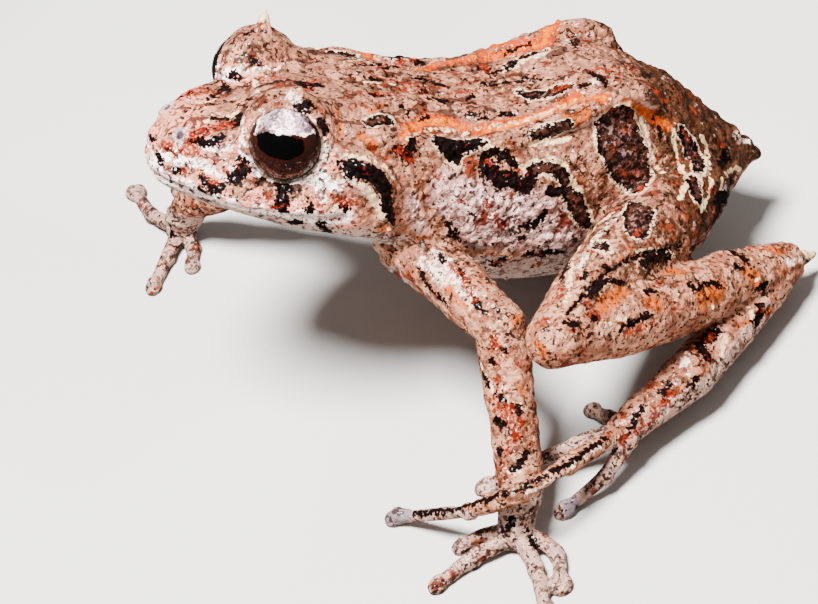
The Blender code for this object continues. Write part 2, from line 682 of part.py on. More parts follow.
def build_frog() -> Vector:
    """Model the frog and return the shift, in millimetres, that centres it."""
    clear_scene()
    forms = new_collection("forms")
    frog = new_collection("frog")
    build_trunk(forms)
    build_head(forms)
    build_arm("left", SHOULDER_L, ELBOW_L, WRIST_L, PALM_L, forms)
    build_arm("right", SHOULDER_R, ELBOW_R, WRIST_R, PALM_R, forms)
    build_leg("left", HIP_L, KNEE_L, HEEL_L, TARSAL_L, TOE_ROOT_L, forms)
    build_leg("right", HIP_R, KNEE_R, HEEL_R, TARSAL_R, TOE_ROOT_R, forms)
    build_hands(forms)
    build_feet(forms)
    skin = fuse(forms, frog)
    thin_out(skin)
    flatten_soles(skin, forms)
    open_eyes(skin, forms)
    carve_face(skin, forms)
    cut_joints(skin, forms)
    nodes = split_nodes(skin, frog)
    for name, side in (("eye_left", 1), ("eye_right", -1)):
        nodes.append(ball(name, eye_centre(side), EYE_RADIUS, frog, look_way(side)))
    for node in nodes:
        if node.name.startswith("eye"):
            colour(node, (0.05, 0.02, 0.02), 0.1)
        else:
            colour(node, (0.46, 0.32, 0.27), 0.45)
    bpy.data.collections.remove(forms)
    shift = settle(nodes)
    for node in nodes:
        tidy(node)
    return shift


SHIFT = build_frog()
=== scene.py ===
"""Looks of a small rain frog at life size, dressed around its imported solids.

The living surface is modelled in millimetres from the same named sizes as the solids: lofts, bent
tubes and balls are fused into one skin, given folds, granules, tubercles and lids, painted by named
marks, and brought to metres in place of the flesh nodes. The eyes are pieces of their own.
World axes: -X is the way the frog faces, -Y its left side, +Z up, the floor at z = 0.
Body axes (a, b, c): a forward from the vent, b to the frog's left, c up from the back line.
"""

import logging
import math
from dataclasses import dataclass, field
from enum import Enum

import bmesh
import bpy
import numpy as np
from mathutils import Matrix, Vector
from mathutils.bvhtree import BVHTree

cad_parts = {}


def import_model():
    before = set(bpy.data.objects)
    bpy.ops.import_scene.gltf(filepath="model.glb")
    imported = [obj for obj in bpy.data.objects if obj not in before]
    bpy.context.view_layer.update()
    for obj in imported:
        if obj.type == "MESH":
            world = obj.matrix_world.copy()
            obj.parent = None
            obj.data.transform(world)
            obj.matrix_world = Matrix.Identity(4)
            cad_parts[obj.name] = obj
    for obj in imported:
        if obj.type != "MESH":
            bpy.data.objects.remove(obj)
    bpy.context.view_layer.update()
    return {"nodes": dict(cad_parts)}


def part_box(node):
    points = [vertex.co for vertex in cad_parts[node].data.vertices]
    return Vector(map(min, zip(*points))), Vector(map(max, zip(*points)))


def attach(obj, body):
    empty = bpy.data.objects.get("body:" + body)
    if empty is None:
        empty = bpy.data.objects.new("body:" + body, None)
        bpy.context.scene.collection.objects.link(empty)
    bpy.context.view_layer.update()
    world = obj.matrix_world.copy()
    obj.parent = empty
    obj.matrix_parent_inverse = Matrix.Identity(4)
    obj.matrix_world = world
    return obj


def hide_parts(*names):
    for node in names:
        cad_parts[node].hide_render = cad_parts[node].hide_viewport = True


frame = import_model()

log = logging.getLogger("rain_frog")

MM = 0.001
IMAGE_WIDTH = 818
IMAGE_HEIGHT = 604
PIXELS_PER_MM = 24.3
SKIN_TRIANGLES = 194000
VOXEL = 0.1
SOLE_LEVEL = 0.13
FAR = 9.0
FAR_AWAY = -3.0
SIDES = (1, -1)


@dataclass(frozen=True)
class BodyFrame:
    """How the trunk stands on the floor."""

    pitch: float = math.radians(14.93)
    roll: float = math.radians(5.71)
    vent_height: float = 3.73

    def matrix(self) -> Matrix:
        """Return the matrix from body axes to world millimetres."""
        up = Vector((math.sin(self.pitch), math.cos(self.pitch) * math.sin(self.roll),
                     math.cos(self.pitch) * math.cos(self.roll)))
        forward = Vector((1.0, 0.0, 0.0))
        forward = (forward - up * forward.dot(up)).normalized()
        left = up.cross(forward)
        turn = Matrix((-forward, -left, up)).to_4x4()
        return Matrix.Translation((0.0, 0.0, self.vent_height)) @ turn



BODY = BodyFrame().matrix()
TO_BODY = BODY.inverted()
BODY_TURN = np.array(BODY.to_3x3())


def world(point: tuple[float, float, float]) -> Vector:
    """Return the world millimetres of a point given in body axes."""
    return BODY @ Vector(point)


def body_points(points: np.ndarray) -> np.ndarray:
    """Return points in body axes.

    Args:
        points: world positions in millimetres, one a row.

    Returns:
        The same points as (a, b, c) rows.
    """
    matrix = np.array(TO_BODY)
    return points @ matrix[:3, :3].T + matrix[:3, 3]


def columns(x: Vector, y: Vector, z: Vector, place: Vector) -> Matrix:
    """Return the matrix that has these axes and this place as its columns."""
    return Matrix.Translation(place) @ Matrix((x, y, z)).transposed().to_4x4()


def add_object(name: str, data: bpy.types.ID) -> bpy.types.Object:
    """Add an object that shows some data to the scene."""
    made = bpy.data.objects.new(name, data)
    bpy.context.scene.collection.objects.link(made)
    return made


@dataclass(frozen=True)
class PhotoCamera:
    """The photograph's camera, set by its angles about the body axes."""

    azimuth: float = math.radians(15.7)
    elevation: float = math.radians(32.0)
    distance: float = 150.0
    aim: tuple[float, float, float] = (15.37, 2.47, -3.26)
    sensor: float = 36.0

    def axes(self) -> tuple[Vector, Vector, Vector]:
        """Return the camera's right, up and back directions in world axes."""
        az, el = self.azimuth, self.elevation
        back = Vector((math.sin(az) * math.cos(el), math.cos(az) * math.cos(el), math.sin(el)))
        right = Vector((-math.cos(az), math.sin(az), 0.0))
        up = right.cross(-back)
        turn = BODY.to_3x3()
        return turn @ right, turn @ up, turn @ back

    def place(self) -> Vector:
        """Return the camera's place in world millimetres."""
        return world(self.aim) + self.axes()[2] * self.distance

    def focal_pixels(self) -> float:
        """Return the focal length in pixels of the photograph."""
        return PIXELS_PER_MM * self.distance

    def ray(self, x: float, y: float) -> tuple[Vector, Vector]:
        """Return the start and direction of the sight line through a pixel."""
        right, up, back = self.axes()
        focal = self.focal_pixels()
        across = (x - IMAGE_WIDTH / 2) / focal
        rise = (IMAGE_HEIGHT / 2 - y) / focal
        return self.place(), (-back + right * across + up * rise).normalized()

    def make(self, shift: Vector) -> None:
        """Add the camera to the scene.

        Args:
            shift: millimetres that take the modelling place to the frame's place.
        """
        right, up, back = self.axes()
        spot = (self.place() + shift) * MM
        data = bpy.data.cameras.new("photo_camera")
        data.sensor_width = self.sensor
        data.lens = self.focal_pixels() / IMAGE_WIDTH * self.sensor
        data.clip_start = 0.001
        data.clip_end = 10.0
        camera = add_object("photo_camera", data)
        camera.matrix_world = columns(right, up, back, spot)
        bpy.context.scene.camera = camera


CAMERA = PhotoCamera()


def smooth_rows(rows: list[tuple[float, ...]], steps: int) -> list[np.ndarray]:
    """Fill in between rows with Catmull-Rom curves.

    Args:
        rows: the given rows of numbers.
        steps: how many rows each span gets.

    Returns:
        The filled list of rows.
    """
    data = np.array(rows, dtype=float)
    padded = np.vstack([2 * data[0] - data[1], data, 2 * data[-1] - data[-2]])
    filled = []
    for i in range(1, len(padded) - 2):
        p0, p1, p2, p3 = padded[i - 1:i + 3]
        for k in range(steps):
            t = k / steps
            filled.append(0.5 * (2 * p1 + (p2 - p0) * t + (2 * p0 - 5 * p1 + 4 * p2 - p3) * t * t
                                 + (3 * p1 - p0 - 3 * p2 + p3) * t ** 3))
    filled.append(data[-1])
    return filled


def soft_step(low: float, high: float, value: np.ndarray) -> np.ndarray:
    """Return 0 below `low`, 1 above `high` and a smooth ramp between."""
    t = np.clip((value - low) / (high - low), 0.0, 1.0)
    return t * t * (3.0 - 2.0 * t)


def deselect() -> None:
    """Leave nothing selected."""
    for item in bpy.context.selected_objects:
        item.select_set(False)


def select(items: list[bpy.types.Object]) -> None:
    """Leave only these selected, the first one active."""
    deselect()
    for item in items:
        item.select_set(True)
    bpy.context.view_layer.objects.active = items[0]


def run_modifier(item: bpy.types.Object, kind: str, **settings: bool | float | str) -> None:
    """Work one modifier into the active object."""
    modifier = item.modifiers.new(kind.lower(), kind)
    for name, value in settings.items():
        setattr(modifier, name, value)
    bpy.ops.object.modifier_apply(modifier=modifier.name)


def read_points(mesh: bpy.types.Mesh) -> np.ndarray:
    """Return a mesh's points, one a row."""
    points = np.empty(len(mesh.vertices) * 3)
    mesh.vertices.foreach_get("co", points)
    return points.reshape(-1, 3)


def write_points(mesh: bpy.types.Mesh, points: np.ndarray) -> None:
    """Put points back into a mesh."""
    mesh.vertices.foreach_set("co", points.ravel())
    mesh.update()


def store(mesh: bpy.types.Mesh, layers: dict[str, np.ndarray]) -> None:
    """Keep values as attributes of a mesh's points."""
    for name, layer in layers.items():
        made = mesh.attributes.new(name, "FLOAT", "POINT")
        made.data.foreach_set("value", np.asarray(layer, dtype=np.float32))


class Grain:
    """Seeded noise over points in millimetres."""

    @staticmethod
    def scatter(cell: np.ndarray, seed: int) -> np.ndarray:
        """Return one fixed random number from 0 to 1 for each whole-numbered cell."""
        mixed = (cell[..., 0] * 73856093) ^ (cell[..., 1] * 19349663) ^ (cell[..., 2] * 83492791)
        mixed = (mixed ^ (seed * 1274126177)) & 0xFFFFFFFF
        mixed = ((mixed ^ (mixed >> 15)) * 2246822519) & 0xFFFFFFFF
        mixed = ((mixed ^ (mixed >> 13)) * 3266489917) & 0xFFFFFFFF
        return ((mixed ^ (mixed >> 16)) & 0xFFFFFF) / float(0x1000000)

    @classmethod
    def smooth(cls, points: np.ndarray, size: float, seed: int) -> np.ndarray:
        """Return smooth noise from 0 to 1.

        Args:
            points: positions, one a row.
            size: width of one lump, in the points' unit.
            seed: which noise of its kind.

        Returns:
            One value for each point.
        """
        scaled = points / size
        low = np.floor(scaled).astype(np.int64)
        part = scaled - low
        part = part * part * (3.0 - 2.0 * part)
        total = np.zeros(len(points))
        for corner in range(8):
            step = np.array([corner & 1, (corner >> 1) & 1, (corner >> 2) & 1])
            weight = np.prod(np.where(step == 1, part, 1.0 - part), axis=1)
            total += weight * cls.scatter(low + step, seed)
        return total

    @classmethod
    def cells(cls, points: np.ndarray, size: float, seed: int) -> tuple[np.ndarray, np.ndarray]:
        """Return the distance to the nearest scattered seed point, and that seed's random number.

        Args:
            points: positions, one a row.
            size: spacing of the seed points.
            seed: which scatter.

        Returns:
            Distances in spacings, and one number from 0 to 1 for each nearest seed.
        """
        scaled = points / size
        low = np.floor(scaled).astype(np.int64)
        near = np.full(len(points), FAR)
        mark = np.zeros(len(points))
        for corner in range(27):
            cell = low + np.array([corner % 3 - 1, corner // 3 % 3 - 1, corner // 9 - 1])
            spot = cell + 0.15 + 0.7 * np.stack([cls.scatter(cell, seed + k) for k in range(3)], axis=1)
            gap = np.sqrt(((scaled - spot) ** 2).sum(axis=1))
            closer = gap < near
            near = np.where(closer, gap, near)
            mark = np.where(closer, cls.scatter(cell, seed + 5), mark)
        return near, mark


class Clay:
    """Closed forms in world millimetres that are fused into one skin."""

    def __init__(self) -> None:
        """Start with no forms."""
        self.forms: list[bpy.types.Object] = []

    def keep(self, name: str, matrix: Matrix) -> None:
        """Take the primitive that was just added, put it in its place and keep it."""
        form = bpy.context.object
        form.name = name
        form.data.transform(matrix)
        self.forms.append(form)

    def ball(self, centre: Vector, radii: float | tuple[float, ...], aim: Vector | None = None) -> None:
        """Add a ball or an ellipsoid.

        Args:
            centre: its middle.
            radii: one radius, or three along its own axes.
            aim: where its own X axis points.
        """
        bpy.ops.mesh.primitive_uv_sphere_add(segments=20, ring_count=12, radius=1.0)
        size = (radii, radii, radii) if isinstance(radii, (int, float)) else radii
        turn = aim.to_track_quat("X", "Z").to_matrix().to_4x4() if aim is not None else Matrix()
        self.keep("ball", Matrix.Translation(centre) @ turn @ Matrix.Diagonal((*size, 1.0)))

    def tube(self, points: list[Vector], radii: list[float], sides: int = 5) -> None:
        """Add a bent round limb with rounded ends.

        Args:
            points: its middle line.
            radii: its radius at each point.
            sides: the curve's bevel resolution.
        """
        path = smooth_rows([(*p, r) for p, r in zip(points, radii)], 6)
        curve = bpy.data.curves.new("limb", "CURVE")
        curve.dimensions = "3D"
        curve.bevel_depth = 1.0
        curve.bevel_resolution = sides
        curve.use_fill_caps = True
        spline = curve.splines.new("POLY")
        spline.points.add(len(path) - 1)
        for point, row in zip(spline.points, path):
            point.co = (row[0], row[1], row[2], 1.0)
            point.radius = row[3]
        select([add_object("limb", curve)])
        bpy.ops.object.convert(target="MESH")
        self.forms.append(bpy.context.object)
        for row in (path[0], path[-1]):
            self.ball(Vector(row[:3]), float(row[3]))

    def loft(self, rows: list[tuple[float, ...]]) -> None:
        """Add a closed body over smoothed cross-sections.

        Args:
            rows: forward, half width, top, bottom, height of the widest line and the roundness
                of the upper and the lower half (2 is an ellipse), in body axes.
        """
        sides = 72
        rings = [self.section(row, sides) for row in smooth_rows(rows, 8)]
        work = bmesh.new()
        loops = [[work.verts.new(point) for point in ring] for ring in rings]
        for one, two in zip(loops, loops[1:]):
            for k in range(sides):
                n = (k + 1) % sides
                work.faces.new((one[k], one[n], two[n], two[k]))
        work.faces.new(loops[0])
        work.faces.new(loops[-1])
        bmesh.ops.recalc_face_normals(work, faces=work.faces)
        mesh = bpy.data.meshes.new("loft")
        work.to_mesh(mesh)
        work.free()
        self.forms.append(add_object("loft", mesh))

    def bead(self, rows: tuple[tuple[float, ...], ...], side: int = 1) -> None:
        """Add a tube along the body.

        Args:
            rows: forward, out to the side, up and radius at each point, in body axes.
            side: 1 for the left, -1 for the right.
        """
        self.tube([world((a, b * side, c)) for a, b, c, _ in rows], [row[3] for row in rows])

    @staticmethod
    def section(row: np.ndarray, sides: int) -> list[Vector]:
        """Return one cross-section as world points."""
        a, half, top, bottom, widest, round_up, round_down = row
        points = []
        for k in range(sides):
            angle = 2 * math.pi * k / sides
            c, s = math.cos(angle), math.sin(angle)
            power = round_up if s >= 0 else round_down
            reach = top - widest if s >= 0 else widest - bottom
            b = half * math.copysign(abs(c) ** (2 / power), c)
            z = widest + reach * math.copysign(abs(s) ** (2 / power), s)
            points.append(world((a, b, z)))
        return points

    def fuse(self, relax: int) -> bpy.types.Object:
        """Join all forms into one closed skin.

        Args:
            relax: how many times the fused surface is smoothed.

        Returns:
            The skin, still in millimetres.
        """
        select(self.forms)
        bpy.ops.object.join()
        skin = bpy.context.object
        skin.name = "skin"
        run_modifier(skin, "REMESH", mode="VOXEL", voxel_size=VOXEL)
        run_modifier(skin, "SMOOTH", factor=0.5, iterations=relax)
        self.forms = []
        return skin


@dataclass(frozen=True)
class Joints:
    """Places of one arm's and one leg's joints, in world millimetres."""

    shoulder: Vector
    elbow: Vector
    wrist: Vector
    palm: Vector
    hip: Vector
    knee: Vector
    heel: Vector
    tarsal: Vector
    toe_root: Vector


LEFT = Joints(
    shoulder=Vector((-14.9, -3.3, 8.0)), elbow=Vector((-12.9, -8.5, 6.9)),
    wrist=Vector((-14.25, -12.5, 2.3)), palm=Vector((-15.2, -13.5, 0.72)),
    hip=Vector((-3.1, -2.5, 5.15)), knee=Vector((-11.25, -10.6, 7.05)),
    heel=Vector((-0.48, -5.35, 1.9)), tarsal=Vector((-6.1, -9.6, 1.88)),
    toe_root=Vector((-9.6, -11.4, 1.9)),
)
RIGHT = Joints(
    shoulder=Vector((-15.2, 3.4, 7.4)), elbow=Vector((-18.7, 7.8, 5.7)),
    wrist=Vector((-22.4, 11.6, 2.3)), palm=Vector((-23.2, 12.2, 0.75)),
    hip=Vector((-3.6, 2.3, 4.1)), knee=Vector((-11.8, 9.2, 5.1)),
    heel=Vector((-0.7, 5.5, 1.6)), tarsal=Vector((-6.6, 9.5, 1.1)),
    toe_root=Vector((-9.7, 11.6, 0.85)),
)


@dataclass
class Trunk:
    """The trunk with its back folds, sacral corners and vent."""

    sections: list[tuple[float, ...]] = field(default_factory=lambda: [
        (-0.3, 0.35, 0.55, -0.35, 0.1, 2.0, 2.0),
        (1.2, 1.9, 2.0, -1.7, 0.2, 2.0, 2.0),
        (3.0, 2.9, 3.7, -2.5, 0.6, 2.1, 2.0),
        (5.0, 3.5, 5.0, -3.1, 1.0, 2.4, 2.0),
        (6.8, 3.9, 5.7, -3.5, 1.2, 2.8, 2.0),
        (9.0, 4.4, 5.3, -3.7, 1.0, 2.7, 2.1),
        (12.0, 4.65, 5.0, -3.2, 1.0, 2.6, 2.1),
        (14.6, 4.6, 5.3, -1.9, 1.5, 2.7, 2.1),
        (16.8, 4.8, 6.0, -0.4, 2.2, 3.0, 2.1),
        (19.0, 4.3, 6.0, 0.8, 2.8, 2.6, 2.2),
    ])
    fold: tuple = (
        (18.4, 3.45, 5.4, 0.25), (16.6, 3.6, 5.1, 0.5), (14.6, 3.5, 4.5, 0.45), (12.2, 3.4, 4.25, 0.42),
        (9.4, 3.2, 4.6, 0.42), (6.4, 2.9, 5.35, 0.5), (4.9, 2.2, 4.3, 0.25),
    )
    chest: tuple = ((16.0, 3.1, 0.5, 1.1), (14.8, 3.4, 0.5, 1.4))
    vent: tuple = ((1.4, 0.0, 0.5, 0.9), (0.2, 0.0, 0.3, 0.6), (-0.35, 0.0, 0.0, 0.35))
    tail_knob: tuple = ((0.9, 0.25, 0.9, 0.45), (-0.1, 0.3, 0.75, 0.2))

    def model(self, clay: Clay) -> None:
        """Add the trunk's forms."""
        clay.loft(self.sections)
        for side in SIDES:
            clay.bead(self.fold, side)
            clay.bead(self.chest, side)
        clay.bead(self.vent)
        clay.bead(self.tail_knob)


@dataclass
class Head:
    """The head with lid domes, lid cones, canthus, lips and the folds behind the eyes."""

    sections: list[tuple[float, ...]] = field(default_factory=lambda: [
        (16.2, 3.9, 5.4, 0.0, 2.4, 2.4, 2.2),
        (17.6, 4.85, 6.2, 0.1, 2.9, 2.8, 2.2),
        (19.0, 4.9, 6.35, 0.6, 3.1, 2.5, 2.3),
        (20.6, 4.4, 6.1, 1.2, 3.2, 2.3, 2.4),
        (22.2, 3.55, 5.75, 1.7, 3.3, 2.4, 2.4),
        (23.6, 2.6, 5.55, 2.1, 3.5, 2.5, 2.4),
        (24.5, 1.85, 5.3, 2.45, 3.7, 2.4, 2.3),
        (25.2, 1.05, 4.85, 2.95, 3.85, 2.2, 2.2),
        (25.5, 0.3, 4.3, 3.5, 3.9, 2.0, 2.0),
    ])
    lip_line: list[tuple[float, float, float]] = field(default_factory=lambda: [
        (25.6, 0.0, 3.45), (25.2, 0.75, 3.42), (24.4, 1.8, 3.3), (23.2, 3.0, 3.12), (21.4, 4.1, 2.92),
        (19.6, 4.8, 2.75), (18.7, 4.9, 2.72),
    ])
    lid_radius: float = 1.96
    brow: tuple[float, float, float] = (-1.3, 2.2, 5.2)
    brow_radius: float = 1.45
    cone_root: tuple[float, float, float] = (-0.3, -0.1, -0.35)
    cone_right: tuple[float, float, float] = (-0.5, 0.15, 0.66)
    cone_left: tuple[float, float, float] = (-0.5, 0.15, 0.3)
    cone_radii: tuple[float, float, float] = (0.5, 0.3, 0.16)
    canthus: tuple = ((22.3, 2.15, 5.15, 0.55), (23.4, 1.5, 5.05, 0.5), (24.4, 0.95, 4.85, 0.4))
    lip: tuple = (
        (25.25, 0.4, 3.8, 0.3), (24.6, 1.6, 3.7, 0.34), (23.3, 2.9, 3.5, 0.36), (21.4, 4.05, 3.3, 0.36),
        (19.4, 4.75, 3.1, 0.3),
    )
    fold: tuple = (
        (18.6, 4.15, 5.2, 0.3), (17.7, 4.45, 4.9, 0.42), (16.9, 4.6, 3.9, 0.42), (16.7, 4.55, 2.7, 0.3),
    )

    def on_lid(self, offset: tuple[float, float, float], side: int) -> Vector:
        """Return a place given by its offset forward, outward and up from the top of a lid dome."""
        forward, out, rise = offset
        return world((EYE.forward + forward, (EYE.out + out) * side, EYE.up + self.lid_radius + rise))

    def model(self, clay: Clay) -> None:
        """Add the head's forms."""
        clay.loft(self.sections)
        for side in SIDES:
            clay.ball(EYE.socket(side), self.lid_radius)
            ahead, out, up = self.brow
            clay.ball(world((EYE.forward + ahead, out * side, up)), self.brow_radius)
            root = self.on_lid(self.cone_root, side)
            tip = self.on_lid(self.cone_right if side < 0 else self.cone_left, side)
            clay.tube([root, root.lerp(tip, 0.55), tip], list(self.cone_radii))
            for rows in (self.canthus, self.lip, self.fold):
                clay.bead(rows, side)


@dataclass(frozen=True)
class Limbs:
    """Radii of the arms and legs, in millimetres, and the forms that they make."""

    upper_arm: float = 1.22
    shoulder_swell: float = 1.1
    elbow: float = 1.02
    forearm: float = 1.04
    wrist: float = 0.86
    palm: float = 0.72
    hip: float = 1.75
    thigh: float = 1.95
    thigh_taper: float = 0.8
    knee: float = 1.15
    shank: float = 1.55
    shank_taper: float = 0.84
    heel: float = 0.95
    tarsus: float = 1.02
    sole: float = 0.66
    heel_cone: tuple[tuple[float, float], ...] = ((0.4, 0.62), (1.2, 0.34), (1.85, 0.12))

    def model(self, clay: Clay, at: Joints) -> None:
        """Add one side's arm and leg.

        Args:
            clay: what takes the forms.
            at: that side's joints.
        """
        swollen, thin_thigh = self.upper_arm * self.shoulder_swell, self.thigh * self.thigh_taper
        thin_shank = self.shank * self.shank_taper
        for start, end, rows in (
            (at.shoulder, at.elbow, ((0.0, swollen), (0.5, self.upper_arm), (1.0, self.elbow))),
            (at.elbow, at.wrist, ((0.0, self.elbow), (0.4, self.forearm), (1.0, self.wrist))),
            (at.wrist, at.palm, ((0.0, self.wrist), (1.0, self.palm))),
            (at.hip, at.knee, ((0.0, self.hip), (0.35, self.thigh), (0.75, thin_thigh), (1.0, self.knee))),
            (at.knee, at.heel, ((0.0, self.knee), (0.3, self.shank), (0.7, thin_shank), (1.0, self.heel))),
            (at.heel, at.tarsal, ((0.0, self.heel), (0.5, self.tarsus), (1.0, self.tarsus))),
            (at.tarsal, at.toe_root, ((0.0, self.tarsus), (1.0, self.sole))),
        ):
            clay.tube([start.lerp(end, share) for share, _ in rows], [radius for _, radius in rows])
        back = (at.heel - at.knee).normalized()
        places = [at.heel + back * way for way, _ in self.heel_cone]
        clay.tube(places, [radius for _, radius in self.heel_cone])


@dataclass(frozen=True)
class Digits:
    """Fingers and toes with knobs under their joints and a flattened disc at each tip."""

    finger: float = 0.33
    toe: float = 0.31
    root_swell: float = 1.12
    taper: float = 0.27
    knob: float = 1.18
    knob_drop: float = 0.25
    disc: float = 0.43
    disc_shape: tuple[float, float, float] = (1.15, 1.0, 0.72)
    tip_knob: float = 0.95
    tip_rise: float = 0.12
    fingers: tuple = (
        (0.9, (-15.4, -13.1, 0.62), (-16.4, -12.75, 0.45), (-17.2, -12.75, 0.33)),
        (0.9, (-15.5, -13.6, 0.66), (-17.2, -13.8, 0.5), (-18.7, -14.3, 0.33)),
        (1.15, (-15.1, -13.8, 0.66), (-15.0, -15.6, 0.55), (-15.3, -17.6, 0.33)),
        (1.15, (-14.8, -13.6, 0.66), (-14.0, -15.1, 0.5), (-14.3, -16.5, 0.33)),
        (0.9, (-23.1, 11.9, 0.62), (-23.0, 11.0, 0.45), (-23.3, 10.0, 0.33)),
        (0.9, (-23.4, 12.0, 0.66), (-24.2, 10.9, 0.5), (-25.2, 9.5, 0.33)),
        (1.15, (-23.4, 12.5, 0.66), (-24.2, 14.2, 0.5), (-24.5, 16.2, 0.33)),
        (1.15, (-23.1, 12.5, 0.66), (-22.9, 13.9, 0.5), (-22.6, 15.3, 0.33)),
    )
    toes: tuple = (
        (0.95, (-8.8, -10.6, 1.5), (-8.2, -9.6, 0.8), (-8.4, -8.6, 0.33)),
        (0.95, (-9.4, -10.9, 1.6), (-9.7, -9.6, 1.0), (-10.1, -8.0, 0.33)),
        (1.1, (-9.8, -11.2, 1.75), (-12.0, -10.8, 1.5), (-13.8, -10.3, 0.9), (-15.3, -10.0, 0.33)),
        (1.1, (-9.8, -11.6, 1.95), (-12.4, -13.2, 2.95), (-14.5, -14.05, 3.25), (-16.6, -12.8, 2.1),
         (-19.2, -9.9, 0.33)),
        (1.1, (-9.6, -11.9, 1.75), (-11.0, -12.6, 1.1), (-12.8, -12.8, 0.33)),
        (0.95, (-9.3, 11.1, 0.62), (-9.9, 10.1, 0.45), (-10.9, 9.3, 0.33)),
        (0.95, (-9.9, 11.3, 0.66), (-11.5, 10.6, 0.5), (-13.0, 9.8, 0.33)),
        (1.1, (-10.1, 11.6, 0.7), (-12.6, 11.8, 0.55), (-15.3, 11.6, 0.33)),
        (1.1, (-10.1, 11.9, 0.7), (-13.4, 13.4, 0.6), (-16.4, 14.3, 0.45), (-18.9, 14.4, 0.33)),
        (1.1, (-9.7, 12.2, 0.66), (-11.4, 14.0, 0.5), (-13.2, 15.6, 0.33)),
    )

    def model(self, clay: Clay) -> None:
        """Add every finger and toe."""
        for thick, group in ((self.finger, self.fingers), (self.toe, self.toes)):
            for scale, *places in group:
                self.digit(clay, [Vector(p) for p in places], thick, self.disc * scale)

    def digit(self, clay: Clay, points: list[Vector], thick: float, disc: float) -> None:
        """Add one digit.

        Args:
            clay: what takes the forms.
            points: its middle line, root first.
            thick: its radius.
            disc: its disc's radius.
        """
        last = len(points) - 1
        clay.tube(points, [thick * (self.root_swell - self.taper * i / last) for i in range(last + 1)], 3)
        for middle in points[1:-1]:
            clay.ball(middle - Vector((0.0, 0.0, thick * self.knob_drop)), thick * self.knob)
        aim = (points[-1] - points[-2]).normalized()
        clay.ball(points[-1] + aim * disc * 0.3, tuple(disc * share for share in self.disc_shape), aim)
        clay.ball(points[-1] - aim * disc * 0.1 + Vector((0.0, 0.0, self.tip_rise)), thick * self.tip_knob)


@dataclass(frozen=True)
class EyePlan:
    """Size, place and gaze of the eyes, in millimetres and body axes."""

    forward: float = 20.42
    out: float = 2.80
    up: float = 5.50
    radius: float = 1.56
    bulge: float = 0.32
    seat_way: tuple[float, float, float] = (0.40, 0.90, -0.14)
    opening_left: tuple[float, float, float] = (0.345, 0.887, 0.295)
    opening_right: tuple[float, float, float] = (0.60, -0.79, -0.08)
    gaze_left: tuple[float, float, float] = (0.41, 0.855, 0.345)
    gaze_right: tuple[float, float, float] = (0.34, -0.94, -0.06)
    half_open_left: float = math.radians(67.0)
    half_open_right: float = math.radians(71.0)
    lid: float = 0.2
    behind: float = 0.14
    cornea: float = 0.05
    iris_radius: float = 1.34
    iris_slope: float = 0.22
    silver_half: float = 1.14
    pupil_half: float = 0.93
    pupil_up: float = 0.1
    squareness_above: float = 3.2
    squareness_below: float = 2.1
    pupil_rise: float = 0.42
    pupil_drop: float = 0.55
    pupil_tilt: float = math.radians(-20.0)

    def socket(self, side: int) -> Vector:
        """Return the middle of a lid dome."""
        return world((self.forward, self.out * side, self.up))

    @staticmethod
    def way(direction: tuple[float, float, float]) -> Vector:
        """Return a body direction in world axes."""
        return (world(direction) - world((0.0, 0.0, 0.0))).normalized()

    def centre(self, side: int) -> Vector:
        """Return the middle of an eyeball, as its solid has it."""
        a, b, c = self.seat_way
        return self.socket(side) + self.way((a, b * side, c)) * self.bulge

    def opening(self, side: int) -> Vector:
        """Return the way that the lids open."""
        return self.way(self.opening_left if side > 0 else self.opening_right)

    def gaze(self, side: int) -> Vector:
        """Return the way that the pupil looks."""
        return self.way(self.gaze_left if side > 0 else self.gaze_right)


EYE = EyePlan()


def segment_gap(points: np.ndarray, start: np.ndarray, end: np.ndarray) -> tuple[np.ndarray, np.ndarray]:
    """Measure points against a straight stretch.

    Args:
        points: positions, one a row.
        start: where the stretch starts.
        end: where it ends.

    Returns:
        Each point's distance to the stretch, and how far along it the nearest spot lies, 0 to 1.
    """
    span = end - start
    length = max(float(span @ span), 1e-9)
    along = np.clip((points - start) @ span / length, 0.0, 1.0)
    gap = np.sqrt(((points - start - along[:, None] * span) ** 2).sum(axis=1))
    return gap, along


class Zone(Enum):
    """Parts of the body that keep their marks to themselves."""

    BODY = 0
    ARM = 1
    THIGH = 2
    SHANK = 3
    FOOT = 4


@dataclass(frozen=True)
class Stretch:
    """A straight stretch of a limb between two joints, and how far the skin round it belongs to it.

    `beside` names two joints whose line tells its sides apart. The body may claim the skin up to the
    share `root` of its length.
    """

    start: str
    end: str
    beside: tuple[str, str]
    reach: float
    zone: Zone
    root: float = 0.0

    def axes(self, at: Joints, mirror: float) -> tuple[np.ndarray, np.ndarray, np.ndarray]:
        """Return its start, its span and its sideways axes stacked, for one side's joints."""
        start, end, near, far = (np.array(getattr(at, name)) for name in (self.start, self.end, *self.beside))
        side = far - near
        span = end - start
        way = span / np.linalg.norm(span)
        u = side - way * (side @ way)
        u /= np.linalg.norm(u)
        return start, span, np.stack([u, np.cross(way, u) * mirror])


